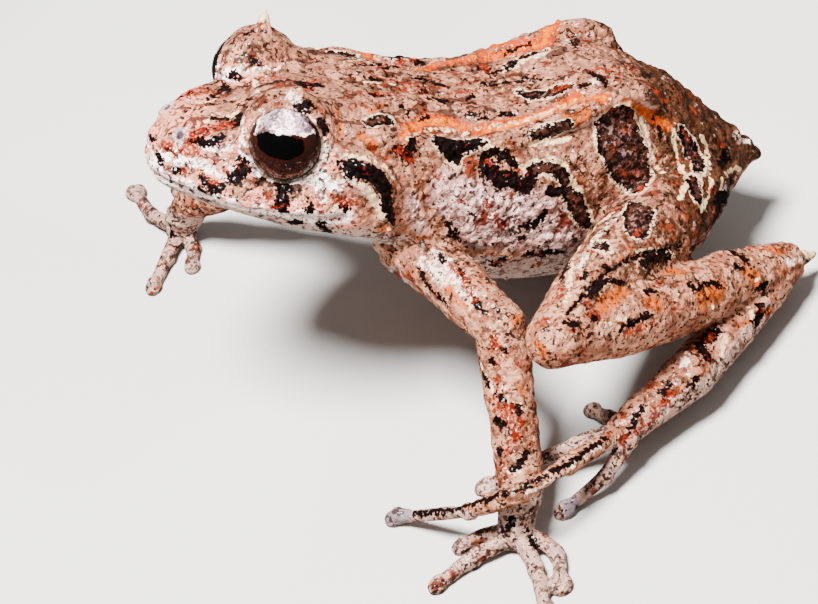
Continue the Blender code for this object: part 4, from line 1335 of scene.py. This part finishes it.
@dataclass(frozen=True)
class LidEdge:
    """How the lids lie on the eyeball: a reach in millimetres, and angles in radians past their edge."""

    reach: float = 1.1
    band: float = 0.5
    rounded: float = 0.1
    full: float = 0.16
    pulled: float = 0.42
    least: float = 0.6
    slack: float = 0.05


@dataclass
class Skin:
    """The one skin of the whole frog, lids closed on the eyes."""

    relief: Relief = Relief()
    lids: LidEdge = LidEdge()

    def build(self, shift: Vector) -> bpy.types.Object:
        """Model, paint and place the skin.

        Args:
            shift: millimetres that take the modelling place to the frame's place.

        Returns:
            The finished piece in metres.
        """
        clay = Clay()
        Trunk().model(clay)
        head = Head()
        head.model(clay)
        for at in (LEFT, RIGHT):
            Limbs().model(clay, at)
        Digits().model(clay)
        skin = clay.fuse(3)
        log.info("fused skin: %d points", len(skin.data.vertices))
        painter = Painter(skin)
        self.roughen(skin, painter, head)
        self.close_lids(skin)
        self.level_soles(skin)
        self.thin(skin)
        self.paint(skin, painter, head)
        skin.data.transform(Matrix.Scale(MM, 4) @ Matrix.Translation(shift))
        skin.data.update()
        select([skin])
        bpy.ops.object.shade_smooth()
        return skin

    @staticmethod
    def read(skin: bpy.types.Object) -> tuple[np.ndarray, np.ndarray]:
        """Return the skin's points and their normals."""
        normals = np.empty(len(skin.data.vertices) * 3, dtype=np.float32)
        skin.data.vertex_normals.foreach_get("vector", normals)
        return read_points(skin.data), normals.reshape(-1, 3).astype(float)

    @staticmethod
    def near_line(points: np.ndarray, line: np.ndarray) -> np.ndarray:
        """Return each point's distance to a bent line."""
        gap = np.full(len(points), FAR)
        for one, two in zip(line, line[1:]):
            gap = np.minimum(gap, segment_gap(points, one, two)[0])
        return gap

    def nostril_gap(self, points: np.ndarray, painter: Painter) -> np.ndarray:
        """Return each point's distance to the axis of the nearer nostril."""
        gap = np.full(len(points), FAR)
        ahead, out, up = self.relief.nostril
        for side in SIDES:
            hole, outward = painter.tree.find_nearest(world((ahead, out * side, up)))[:2]
            offset = points - np.array(hole)
            deep = offset @ np.array(outward)
            aside = np.linalg.norm(offset - deep[:, None] * np.array(outward), axis=1)
            gap = np.minimum(gap, np.where(np.abs(deep) < self.relief.nostril_reach, aside, FAR))
        return gap

    def lip_points(self, head: Head, tree: BVHTree) -> np.ndarray:
        """Return the mouth line laid on the skin, from one jaw corner round the snout to the other."""
        half = head.lip_line
        whole = [(a, b, c) for a, b, c in reversed(half)] + [(a, -b, c) for a, b, c in half[1:]]
        return np.array([tree.find_nearest(world(tuple(row)))[0] for row in smooth_rows(whole, 4)])

    def roughen(self, skin: bpy.types.Object, painter: Painter, head: Head) -> None:
        """Give the skin its granules, tubercles, wrinkles, mouth line and nostrils.

        Args:
            skin: the fused skin, in millimetres.
            painter: where the marks lie on it.
            head: the head's sizes.
        """
        at = self.relief
        points, normals = self.read(skin)
        anatomy = Anatomy(points)
        body = anatomy.body
        upward = normals @ BODY_TURN[:, 2]
        on_body = anatomy.zone == Zone.BODY.value
        on_trunk = on_body & (body[:, 0] < 17.0)
        on_head = on_body & (body[:, 0] > 17.5)
        thin = (points[:, 2] < 1.6) & (np.abs(points[:, 1]) > 7.2)
        bump = self.granules(points, upward, on_trunk, on_head, thin)
        near, mark = Grain.cells(points, at.tubercle, 23)
        knob = np.clip(1.0 - (near / at.tubercle_width) ** 2, 0.0, 1.0) * (mark > at.tubercle_rarity)
        bump += knob * at.tubercle_height * np.where(thin, 0.0, 1.0) * soft_step(-0.2, 0.3, upward)
        lumps = Grain.smooth(points, at.lump, 31) - 0.5
        bump += lumps * at.lump_height * np.where(thin, at.digit_lumps, 1.0)
        wrinkle = np.abs(Grain.smooth(body * np.array(at.wrinkle_squeeze), 1.0, 41) - 0.5) * 2.0
        height = (wrinkle - at.fold_level) * at.wrinkle_height * soft_step(0.2, 0.8, upward)
        bump += np.where(on_body, height, 0.0)
        crumple = np.abs(Grain.smooth(points, at.crumple, 47) - 0.5) * 2.0
        height = (crumple - at.fold_level) * at.crumple_height
        bump += np.where(on_trunk & (np.abs(upward) < 0.6), height, 0.0)
        bump += painter.lifts(points, anatomy)
        mouth = self.near_line(points, self.lip_points(head, painter.tree))
        bump -= at.mouth_depth * np.exp(-(mouth / at.mouth_width) ** 2)
        gap = self.nostril_gap(points, painter)
        ring = at.ring_height * np.exp(-((gap - at.ring_radius) / at.ring_height) ** 2)
        bump += ring - at.hole_depth * np.exp(-(gap / at.hole_radius) ** 2)
        for side in SIDES:
            gap = np.linalg.norm(points - np.array(EYE.centre(side)), axis=1)
            bump *= at.lid_share + (1.0 - at.lid_share) * soft_step(*at.lid_zone, gap)
        write_points(skin.data, points + normals * bump[:, None])

    def granules(self, points: np.ndarray, upward: np.ndarray, on_trunk: np.ndarray, on_head: np.ndarray,
                 thin: np.ndarray) -> np.ndarray:
        """Return how high the granules stand.

        Args:
            points: positions in millimetres.
            upward: how far each point looks up, from -1 to 1.
            on_trunk: which of them lie on the trunk.
            on_head: which lie on the head.
            thin: which lie on fingers and toes.

        Returns:
            One height for each point, in millimetres.
        """
        at = self.relief
        tall = np.where(on_trunk, at.granule_on_trunk, at.granule_on_limbs)
        tall = tall * np.where(thin, at.digit_share, 1.0)
        tall = np.where(on_head, at.granule_on_head, tall)
        tall = tall * (at.belly_share + (1.0 - at.belly_share) * soft_step(-0.9, -0.2, upward))
        near, mark = Grain.cells(points, at.granule, 11)
        return tall * np.clip(1.0 - (near / at.granule_width) ** 2, 0.0, 1.0) * (0.55 + 0.9 * mark)

    @staticmethod
    def lid_angle(points: np.ndarray, side: int) -> tuple[np.ndarray, np.ndarray, np.ndarray]:
        """Measure points against one eye's lids.

        Args:
            points: positions in millimetres.
            side: 1 for the left eye, -1 for the right one.

        Returns:
            Offsets from the eye's middle, their lengths, and the angle past the lids' edge.
        """
        offset = points - np.array(EYE.centre(side))
        length = np.linalg.norm(offset, axis=1)
        cosine = offset @ np.array(EYE.opening(side)) / np.maximum(length, 1e-6)
        half_open = EYE.half_open_left if side > 0 else EYE.half_open_right
        return offset, length, np.arccos(np.clip(cosine, -1.0, 1.0)) - half_open

    def close_lids(self, skin: bpy.types.Object) -> None:
        """Open the lids round each eyeball and give them a rounded edge that touches it."""
        points = read_points(skin.data)
        at = self.lids
        for side in SIDES:
            centre = np.array(EYE.centre(side))
            offset, length, past = self.lid_angle(points, side)
            way = offset / np.maximum(length, 1e-6)[:, None]
            near = length < EYE.radius + at.reach
            inside = near & (past < 0.0)
            points[inside] = centre + way[inside] * (EYE.radius - EYE.behind)
            band = near & (past >= 0.0) & (past < at.band)
            edge = EYE.radius + EYE.lid * np.sqrt(np.clip(past / at.rounded, 0.04, 1.0))
            least = np.where(past < at.full, edge, EYE.radius + EYE.lid * at.least)
            grown = np.maximum(length, least)
            rim = EYE.radius + EYE.lid + at.slack
            pull = soft_step(at.pulled, at.rounded, past)
            drawn = grown * (1.0 - pull) + np.minimum(grown, np.maximum(rim, least)) * pull
            drawn = np.where(past < at.rounded, np.minimum(drawn, edge), drawn)
            points[band] = centre + way[band] * drawn[band][:, None]
        write_points(skin.data, points)

    @staticmethod
    def level_soles(skin: bpy.types.Object) -> None:
        """Press what reaches lowest onto flats at the level of the solids' soles."""
        points = read_points(skin.data)
        points[:, 2] = np.maximum(points[:, 2], SOLE_LEVEL)
        write_points(skin.data, points)

    @staticmethod
    def thin(skin: bpy.types.Object) -> None:
        """Bring the skin under its budget of triangles."""
        select([skin])
        triangles = sum(len(p.vertices) - 2 for p in skin.data.polygons)
        ratio = min(1.0, SKIN_TRIANGLES / triangles)
        run_modifier(skin, "DECIMATE", ratio=ratio, use_collapse_triangulate=True)
        log.info("skin: %d triangles from %d", len(skin.data.polygons), triangles)

    def paint(self, skin: bpy.types.Object, painter: Painter, head: Head) -> None:
        """Store every layer of colour as an attribute of the skin's points.

        Args:
            skin: the thinned skin, in millimetres.
            painter: where the marks lay on the fused skin.
            head: the head's sizes.
        """
        points, normals = self.read(skin)
        anatomy = Anatomy(points)
        body = anatomy.body
        layers = Painter(skin).layers(points, anatomy)
        upward = normals @ BODY_TURN[:, 2]
        on_body = anatomy.zone == Zone.BODY.value
        head_part = soft_step(17.0, 19.5, body[:, 0]) * on_body
        # Painted shade: skin that faces down gets a darker, greyer tone, fully on the body and partly on the
        # limbs.
        below = soft_step(0.1, -0.65, upward)
        values = {ink.value: layer for ink, layer in layers.items() if ink is not Ink.BLOTCH}
        values["spot"] = np.maximum(layers[Ink.BLOTCH], layers[Ink.OCELLUS])
        values["dark"] = np.minimum(np.maximum(layers[Ink.DARK], values["spot"]), 0.35)
        values["ocellus"] = np.minimum(values["ocellus"], 0.34)
        values["below"] = below * np.where(on_body, 1.0, 0.45)
        values["back"] = soft_step(0.25, 0.75, upward) * on_body * (1.0 - 0.4 * head_part)
        steep = np.maximum(soft_step(0.75, 0.3, upward), 0.6 * soft_step(21.5, 23.5, body[:, 0]))
        values["cheek"] = head_part * steep * soft_step(-0.75, -0.25, upward)
        thin = (points[:, 2] < 2.4) & (np.abs(points[:, 1]) > 7.5)
        drawn = body * np.array([0.3, 1.0, 1.0])
        ridge = 1.0 - np.abs(Grain.smooth(drawn, 0.62, 61) - 0.5) * 14.0
        values["streak"] = np.clip(ridge, 0.0, 1.0) * on_body * soft_step(0.35, 0.7, upward)
        # Painted shade: the rear of the trunk and the back of the thighs are darkened where the light falls
        # off toward the rump, and the dark speckles thicken there.
        behind = soft_step(7.0, 3.0, body[:, 0]) * on_body * soft_step(-0.4, 0.1, upward)
        on_thigh = 0.45 * (anatomy.zone == Zone.THIGH.value) * soft_step(12.0, 8.0, body[:, 0])
        values["rump"] = np.maximum(behind, on_thigh)
        values["speckle"] = (0.03 * values["rump"] - 0.02 * values["cheek"] + 0.004 * values["lilac"]
                             - 0.012 * values["pale"] - 0.02 * values["amber"] - 0.2 * values["plum"])
        values["digit"] = np.where(thin & (anatomy.zone != Zone.SHANK.value), 1.0, 0.0)
        mouth = self.near_line(points, self.lip_points(head, painter.tree))
        # Painted shade: a dark line along the sunk mouth slit.
        values["crease"] = np.exp(-(mouth / 0.08) ** 2)
        values["lip"] = np.exp(-((mouth - 0.25) / 0.16) ** 2)
        rim = np.zeros(len(points))
        for side in SIDES:
            _, length, past = self.lid_angle(points, side)
            near = soft_step(1.9, 1.8, length)
            open_top = np.maximum(soft_step(1.3, 0.7, body[:, 2] - EYE.up),
                                  soft_step(-0.1, 0.3, body[:, 0] - EYE.forward))
            rim = np.maximum(rim, near * open_top * soft_step(0.05, 0.02, past))
            cone = world((EYE.forward - 0.5, (EYE.out + 0.2) * side, EYE.up + head.lid_radius + 0.5))
            tip = np.linalg.norm(points - np.array(cone), axis=1)
            values["cream"] = np.maximum(values["cream"], 0.36 - tip)
        values["rim"] = rim
        gap = self.nostril_gap(points, painter)
        values["nostril"] = np.exp(-((gap - 0.27) / 0.08) ** 2)
        # Painted shade: the inside of each nostril hole is darkened.
        values["nare"] = soft_step(0.24, 0.15, gap)
        store(skin.data, values)


def srgb(code: str) -> tuple[float, float, float, float]:
    """Turn an sRGB hex colour into linear values with an alpha of 1."""
    parts = [int(code[i:i + 2], 16) / 255.0 for i in (1, 3, 5)]
    linear = [p / 12.92 if p <= 0.04045 else ((p + 0.055) / 1.055) ** 2.4 for p in parts]
    return (*linear, 1.0)


def add_node(tree: bpy.types.NodeTree, kind: str, settings: dict | None = None,
             inputs: dict | None = None) -> bpy.types.Node:
    """Add one shader node.

    Args:
        tree: the material's nodes.
        kind: the node's type name.
        settings: its properties.
        inputs: for each socket name or number, a value or another node's output.

    Returns:
        The new node.
    """
    node = tree.nodes.new(kind)
    for name, value in (settings or {}).items():
        setattr(node, name, value)
    for name, value in (inputs or {}).items():
        if isinstance(value, bpy.types.NodeSocket):
            tree.links.new(value, node.inputs[name])
        else:
            node.inputs[name].default_value = value
    return node


class Pattern(Enum):
    """What a pigment's edge follows."""

    LUMPS = "ShaderNodeTexNoise"
    CELLS = "ShaderNodeTexVoronoi"


@dataclass(frozen=True)
class Fray:
    """A pattern with lumps of `size` millimetres that moves an edge by up to half of `reach`."""

    size: float
    reach: float
    pattern: Pattern = Pattern.LUMPS


@dataclass(frozen=True)
class Pigment:
    """A layer of colour that sets in where an attribute, moved by its frays, climbs past `low`."""

    colour: str
    where: str = ""
    low: float = -0.02
    high: float = 0.02
    frays: tuple[Fray, ...] = ()
    strength: float = 1.0


class Palette:
    """A material whose colour is a stack of pigments, measured in millimetres on the object itself."""

    def __init__(self, name: str, ground: str) -> None:
        """Start a material with one even colour."""
        self.material = bpy.data.materials.new(name)
        self.material.use_nodes = True
        self.tree = self.material.node_tree
        self.shader = self.tree.nodes["Principled BSDF"]
        self.colour: bpy.types.NodeSocket | None = None
        self.ground = srgb(ground)
        coordinates = add_node(self.tree, "ShaderNodeTexCoord")
        scaled = add_node(self.tree, "ShaderNodeVectorMath", {"operation": "SCALE"},
                          {0: coordinates.outputs["Object"], "Scale": 1.0 / MM})
        self.place = scaled.outputs[0]

    def moved(self, value: bpy.types.NodeSocket | float,
              frays: tuple[Fray, ...]) -> bpy.types.NodeSocket | float:
        """Move a value by patterns.

        Args:
            value: the value before.
            frays: the patterns.

        Returns:
            The output that holds the moved value.
        """
        for fray in frays:
            node = add_node(self.tree, fray.pattern.value, {},
                            {"Vector": self.place, "Scale": 1.0 / fray.size})
            if fray.pattern is Pattern.LUMPS:
                node.inputs["Detail"].default_value = 2.0
                node.inputs["Roughness"].default_value = 0.5
                pattern, reach = node.outputs["Fac"], fray.reach
            else:
                pattern, reach = node.outputs["Distance"], -fray.reach
            level = add_node(self.tree, "ShaderNodeMath", {"operation": "SUBTRACT"}, {0: pattern, 1: 0.5})
            value = add_node(self.tree, "ShaderNodeMath", {"operation": "MULTIPLY_ADD"},
                             {0: level.outputs[0], 1: reach, 2: value}).outputs[0]
        return value

    def lay(self, pigment: Pigment) -> None:
        """Lay one pigment over the colour so far."""
        value = 0.0
        if pigment.where:
            source = add_node(self.tree, "ShaderNodeAttribute", {"attribute_name": pigment.where})
            value = source.outputs["Fac"]
        mask = add_node(self.tree, "ShaderNodeMapRange", {"interpolation_type": "SMOOTHSTEP"},
                        {"Value": self.moved(value, pigment.frays), "From Min": pigment.low,
                         "From Max": pigment.high, "To Max": pigment.strength})
        mix = add_node(self.tree, "ShaderNodeMix", {"data_type": "RGBA"},
                       {0: mask.outputs["Result"], 6: self.colour or self.ground, 7: srgb(pigment.colour)})
        self.colour = mix.outputs[2]

    def finish(self, settings: dict[str, float | tuple], heights: tuple[Fray, ...],
               film: tuple[Fray, ...] = ()) -> bpy.types.Material:
        """Join the colour to the shader.

        Args:
            settings: the shader's own values.
            heights: patterns in millimetres that its bump adds up.
            film: the same for the clear coat on top.

        Returns:
            The finished material.
        """
        self.tree.links.new(self.colour, self.shader.inputs["Base Color"])
        for name, value in settings.items():
            self.shader.inputs[name].default_value = value
        for socket, patterns in (("Normal", heights), ("Coat Normal", film)):
            if patterns:
                bump = add_node(self.tree, "ShaderNodeBump", {},
                                {"Height": self.moved(0.0, patterns), "Distance": MM, "Strength": 1.0})
                self.tree.links.new(bump.outputs["Normal"], self.shader.inputs[socket])
        return self.material


@dataclass(frozen=True)
class Finish:
    """Real stuff as pigments over a ground, with the relief of its surface and of the film on top."""

    name: str = ""
    ground: str = ""
    pigments: tuple[Pigment, ...] = ()
    settings: tuple[tuple[str, float | tuple[float, ...]], ...] = ()
    heights: tuple[Fray, ...] = ()
    film: tuple[Fray, ...] = ()

    def material(self) -> bpy.types.Material:
        """Return the finished material."""
        palette = Palette(self.name, self.ground)
        for pigment in self.pigments:
            palette.lay(pigment)
        return palette.finish(dict(self.settings), self.heights, self.film)


@dataclass(frozen=True)
class FrogSkin(Finish):
    """Moist granular amphibian skin: pigment cells of 0.1 to 0.3 mm under a thin wet film.

    The film gives small sharp sparks on every granule, and the flesh below it a soft warm depth.
    """

    name: str = "moist_frog_skin"
    ground: str = "#7C4A36"
    pigments: tuple[Pigment, ...] = (
        Pigment("#AE785E", low=-0.1, high=0.12, frays=(Fray(0.7, 1.0), Fray(0.18, 0.3)), strength=0.85),
        Pigment("#7C3010", low=0.1, high=0.2, frays=(Fray(0.8, 1.2), Fray(0.2, 0.8)), strength=0.6),
        Pigment("#704838", "back", 0.3, 0.7, (Fray(0.8, 1.2),), 0.85),
        Pigment("#9E6850", "back", 0.9, 1.08, (Fray(0.6, 1.2), Fray(0.18, 0.4)), 0.85),
        Pigment("#642408", "back", 1.12, 1.22, (Fray(0.65, 1.3), Fray(0.18, 0.9)), 0.75),
        # Painted shade: dark brown wash over the rump and the back of the thighs.
        Pigment("#2E1808", "rump", 0.15, 0.6, (Fray(0.5, 1.4), Fray(0.2, 1.2)), 0.9),
        Pigment("#A0746A", "lilac", 0.3, 0.7, (Fray(0.5, 1.0),), 0.9),
        Pigment("#DEB4AA", "lilac", 0.82, 1.08, (Fray(0.55, 1.2), Fray(0.2, 0.6)), 0.85),
        Pigment("#C07660", "cheek", 0.35, 0.65, (Fray(0.6, 1.0),), 0.9),
        Pigment("#FFEAE0", "cheek", 0.86, 1.0, (Fray(0.55, 1.5), Fray(0.2, 0.6)), 0.95),
        # Painted shade on the undersides.
        Pigment("#A88E84", "below", 0.45, 0.9, (Fray(0.5, 0.6),), 0.8),
        Pigment("#E6C6B2", "pale", 0.45, 1.15, (Fray(0.5, 2.4), Fray(0.16, 2.4)), 0.85),
        Pigment("#F0DCD4", "lip", 0.3, 0.8, (Fray(0.4, 0.8),), 0.7),
        Pigment("#9A7E72", "digit", 0.7, 1.0, (Fray(0.5, 0.8), Fray(0.15, 0.5)), 0.75),
        Pigment("#665A60", "plum", 0.35, 0.8, (Fray(0.3, 0.5),), 0.9),
        Pigment("#883808", "amber", 0.2, 1.1, (Fray(0.4, 1.0), Fray(0.14, 1.0)), 0.9),
        Pigment("#AC4C06", "amber", 0.7, 1.4, (Fray(0.24, 1.2), Fray(0.1, 0.8)), 0.75),
        Pigment("#1C0F0B", "streak", 0.3, 0.5, (Fray(0.8, 2.4), Fray(0.2, 1.0)), 0.85),
        Pigment("#341C12", "speckle", 0.075, 0.125, (Fray(1.3, 0.45), Fray(0.24, 1.3)), 0.75),
        Pigment("#661F08", "speckle", 0.15, 0.21, (Fray(0.8, 1.1), Fray(0.16, 0.9)), 0.75),
        Pigment("#0E0605", "speckle", 0.125, 0.155, (Fray(0.9, 0.5), Fray(0.18, 1.2)), 0.95),
        Pigment("#2A1812", "digit", 1.14, 1.2, (Fray(0.45, 1.5), Fray(0.16, 1.0)), 0.85),
        Pigment("#902E00", "orange", -0.1, 0.0, (Fray(0.18, 0.6), Fray(0.09, 0.4))),
        Pigment("#B45A00", "orange", 0.08, 0.2, (Fray(0.3, 0.8), Fray(0.1, 0.7)), 0.85),
        Pigment("#C4A284", "spot", -0.18, -0.12, (Fray(0.2, 0.3), Fray(1.0, 0.4)), 0.9),
        Pigment("#D2AC82", "cream", -0.05, 0.02, (Fray(0.18, 0.4), Fray(0.9, 0.2)), 0.95),
        Pigment("#090303", "dark", -0.08, -0.04, (Fray(0.2, 0.55), Fray(0.1, 0.2))),
        Pigment("#54100A", "dark", 0.6, 0.72, (Fray(0.15, 1.6), Fray(0.5, 2.0)), 0.75),
        Pigment("#361C14", "ocellus", 0.1, 0.2, (Fray(0.3, 1.2), Fray(0.14, 0.8)), 0.9),
        Pigment("#6C504C", "ocellus", 0.38, 0.46, (Fray(0.4, 1.2), Fray(0.15, 1.2)), 0.8),
        Pigment("#601E0A", "ocellus", 0.48, 0.56, (Fray(0.5, 1.8), Fray(0.13, 1.0)), 0.7),
        Pigment("#0C0605", "ocellus", 0.36, 0.4, (Fray(0.24, 1.9),), 0.9),
        Pigment("#581204", "red", 0.82, 1.0, (Fray(0.14, 2.6), Fray(0.4, 1.0)), 0.9),
        Pigment("#963418", "red", 1.14, 1.26, (Fray(0.12, 2.6),), 0.75),
        Pigment("#120504", "red", 1.26, 1.34, (Fray(0.16, 2.6),), 0.9),
        # Painted shade in the mouth slit.
        Pigment("#160B08", "crease", 0.3, 0.8, (Fray(0.4, 0.8),), 0.9),
        Pigment("#4A362A", "rim", 0.3, 0.8, (Fray(0.3, 0.5),), 0.8),
        Pigment("#8C888E", "nostril", 0.3, 0.9, (), 0.7),
        # Painted shade inside the nostril holes.
        Pigment("#3A3034", "nare", 0.2, 0.6, ()),
    )
    settings: tuple = (
        ("Roughness", 0.5), ("Specular IOR Level", 0.02),
        ("Subsurface Weight", 0.03), ("Subsurface Radius", (1.0, 0.4, 0.25)), ("Subsurface Scale", 0.15 * MM),
        ("Coat Weight", 0.3), ("Coat Roughness", 0.08), ("Coat IOR", 1.38),
    )
    heights: tuple[Fray, ...] = (Fray(0.38, 0.13, Pattern.CELLS), Fray(0.16, 0.1), Fray(0.07, 0.04))
    film: tuple[Fray, ...] = (Fray(0.3, 0.1, Pattern.CELLS),)


@dataclass(frozen=True)
class FrogEye(Finish):
    """Wet eyeball under a clear cornea, which mirrors the lamp in one sharp point.

    The iris is silvery pink above, dark red-brown with bronze flecks below; the pupil lies flat.
    """

    name: str = "wet_frog_eye"
    ground: str = "#180A06"
    pigments: tuple[Pigment, ...] = (
        Pigment("#30150E", "lower", 0.8, 0.9, (Fray(0.25, 1.8), Fray(0.08, 1.8)), 0.8),
        Pigment("#74524A", "lower", 1.26, 1.4, (Fray(0.22, 1.8), Fray(0.09, 1.8)), 0.7),
        Pigment("#E4C4C2", "upper", -0.03, 0.03, (Fray(0.35, 0.25), Fray(0.1, 0.2))),
        # Veins of the silver, which also stand in for the lids' shade at its sides and top.
        Pigment("#6A505C", "veins_and_lid_shade", 0.42, 0.66, (Fray(0.4, 1.8), Fray(0.12, 1.6)), 0.85),
        Pigment("#22141C", "veins_and_lid_shade", 0.72, 0.86, (Fray(0.13, 2.4), Fray(0.5, 1.4)), 0.75),
        Pigment("#260604", "pupil", -0.09, -0.04, (Fray(0.3, 0.3),), 0.75),
        Pigment("#010101", "pupil", -0.02, 0.02, (Fray(0.4, 0.2),)),
        Pigment("#050202", "limbus", 0.0, 0.08, (Fray(0.3, 0.2),)),
    )
    settings: tuple = (
        ("Roughness", 0.6), ("Specular IOR Level", 0.0),
        ("Coat Weight", 0.8), ("Coat Roughness", 0.07), ("Coat IOR", 1.38),
    )


@dataclass(frozen=True)
class PaleFloor(Finish):
    """Board under matt wall paint, laid on with a roller: faint broad tone, no shine."""

    name: str = "matt_painted_board"
    ground: str = "#B6B4B0"
    pigments: tuple[Pigment, ...] = (
        Pigment("#B0AEAA", low=-0.05, high=0.05, frays=(Fray(30.0, 1.0),), strength=0.8),
    )
    settings: tuple = (("Roughness", 0.8),)
    heights: tuple[Fray, ...] = (Fray(1.2, 0.02),)


class Eyes:
    """The two eyeballs."""

    def build(self, side: int, shift: Vector, finish: bpy.types.Material) -> bpy.types.Object:
        """Model one eyeball with its cornea and the places of its iris.

        Args:
            side: 1 for the left eye, -1 for the right one.
            shift: millimetres that take the modelling place to the frame's place.
            finish: the eye's material.

        Returns:
            The finished piece in metres.
        """
        deselect()
        bpy.ops.mesh.primitive_uv_sphere_add(segments=96, ring_count=64, radius=EYE.radius)
        ball = bpy.context.object
        ball.name = "eyeball_left" if side > 0 else "eyeball_right"
        gaze = EYE.gaze(side)
        level = Vector((0.0, 0.0, 1.0)).cross(gaze).normalized()
        flat = Matrix.Rotation(EYE.pupil_tilt * side, 3, gaze) @ level
        turn = columns(flat, gaze.cross(flat), gaze, EYE.centre(side) + shift)
        points = read_points(ball.data)
        across = np.hypot(points[:, 0], points[:, 1])
        front = points[:, 2] > 0.0
        cornea = np.where(front, 1.0 + EYE.cornea * soft_step(1.15, 0.3, across), 1.0)
        store(ball.data, self.iris(points, across, front))
        write_points(ball.data, points * cornea[:, None])
        ball.data.transform(Matrix.Scale(MM, 4) @ turn)
        ball.data.update()
        ball.data.materials.append(finish)
        bpy.ops.object.shade_smooth()
        return ball

    @staticmethod
    def iris(points: np.ndarray, across: np.ndarray, front: np.ndarray) -> dict[str, np.ndarray]:
        """Return the attributes that the eye's pigments follow.

        Args:
            points: the ball's points, its gaze along +Z and the top of its iris along +Y.
            across: their distances from the line of gaze.
            front: which of them lie in the front half.

        Returns:
            The signed depth inside the pupil, the depth inside the silver above it, the depth below,
            how veined the silver is, with painted shade growing toward its sides and the upper lid,
            and the reach past the iris's edge; lengths in millimetres.
        """
        x, y = points[:, 0], points[:, 1]
        tall = np.where(y > EYE.pupil_up, EYE.pupil_rise, EYE.pupil_drop)
        power = np.where(y > EYE.pupil_up, EYE.squareness_above, EYE.squareness_below)
        wide = np.abs(x / EYE.pupil_half) ** power
        ratio = (wide + np.abs((y - EYE.pupil_up) / tall) ** power) ** (1.0 / power)
        pupil = np.where(front, (1.0 - ratio) * tall, FAR_AWAY)
        above = np.minimum(y - EYE.pupil_rise - 0.02 - EYE.iris_slope * x, EYE.silver_half - np.abs(x))
        # Painted shade: the veining thickens toward the sides of the silver and up toward the upper lid,
        # where the lids shade the eyeball.
        veins_and_lid_shade = soft_step(0.0, 0.12, above) * (0.22 + 0.6 * np.abs(x) + 0.36 * np.maximum(above, 0.0))
        return {
            "pupil": pupil,
            "upper": np.where(front, above, FAR_AWAY),
            "lower": np.where(front, -y, FAR_AWAY),
            "veins_and_lid_shade": np.where(front, veins_and_lid_shade, 0.0),
            "limbus": across - EYE.iris_radius + np.where(front, 0.0, 1.0),
        }


@dataclass
class Studio:
    """Pale floor, soft studio light and one small bright key above the camera's left."""

    floor_size: float = 0.6
    reach: float = 0.17
    key_way: tuple[float, float, float] = (-0.33, 0.54, 0.78)
    key_size: float = 0.065
    key_power: float = 2.75
    fill_way: tuple[float, float, float] = (0.35, 0.6, 0.7)
    fill_size: float = 0.5
    fill_power: float = 0.25
    air: float = 0.16
    air_tone: str = "#DDE0E4"

    def build(self, shift: Vector) -> None:
        """Add floor, lights and world.

        Args:
            shift: millimetres that take the modelling place to the frame's place.
        """
        deselect()
        bpy.ops.mesh.primitive_plane_add(size=self.floor_size, location=(0.0, 0.0, 0.0))
        floor = bpy.context.object
        floor.name = "studio_floor"
        floor.data.materials.append(PaleFloor().material())
        floor.visible_glossy = False
        aim = (EYE.socket(1) + shift) * MM
        right, up, back = CAMERA.axes()
        for name, way, size, power in (("key_light", self.key_way, self.key_size, self.key_power),
                                       ("fill_light", self.fill_way, self.fill_size, self.fill_power)):
            turned = (right * way[0] + up * way[1] + back * way[2]).normalized()
            self.lamp(name, aim, turned * self.reach, size, power)
        studio_air = bpy.data.worlds.new("studio_air")
        studio_air.use_nodes = True
        background = studio_air.node_tree.nodes["Background"]
        background.inputs["Color"].default_value = srgb(self.air_tone)
        background.inputs["Strength"].default_value = self.air
        bpy.context.scene.world = studio_air

    @staticmethod
    def lamp(name: str, aim: Vector, offset: Vector, size: float, power: float) -> None:
        """Add one round area light that points at the frog.

        Args:
            name: the light's name.
            aim: what it lights, in metres.
            offset: where it hangs from there.
            size: its width.
            power: in watts.
        """
        data = bpy.data.lights.new(name, "AREA")
        data.shape = "DISK"
        data.size = size
        data.energy = power
        light = add_object(name, data)
        light.visible_glossy = name == "key_light"
        light.location = aim + offset
        light.rotation_euler = offset.to_track_quat("Z", "Y").to_euler()


def frame_shift() -> Vector:
    """Return the millimetres from the modelling place to the frame's, read off the left eye's solid."""
    low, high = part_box("eye_left")
    middle = (Vector(low) + Vector(high)) * 0.5 / MM
    return middle - EYE.centre(1)


def main() -> None:
    """Build every piece around the frame."""
    logging.basicConfig(level=logging.INFO, format="%(name)s: %(message)s")
    deselect()
    shift = frame_shift()
    CAMERA.make(shift)
    Studio().build(shift)
    skin = Skin().build(shift)
    skin.data.materials.clear()
    skin.data.materials.append(FrogSkin().material())
    flesh = [name for name in frame["nodes"] if not name.startswith("eye_")]
    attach(skin, "root")
    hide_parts(*flesh)
    log.info("skin replaces %d nodes", len(flesh))
    finish = FrogEye().material()
    for side, node in ((1, "eye_left"), (-1, "eye_right")):
        ball = Eyes().build(side, shift, finish)
        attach(ball, "root")
        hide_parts(node)
        log.info("%s: %d faces", ball.name, len(ball.data.polygons))


if __name__ == "__main__":
    main()
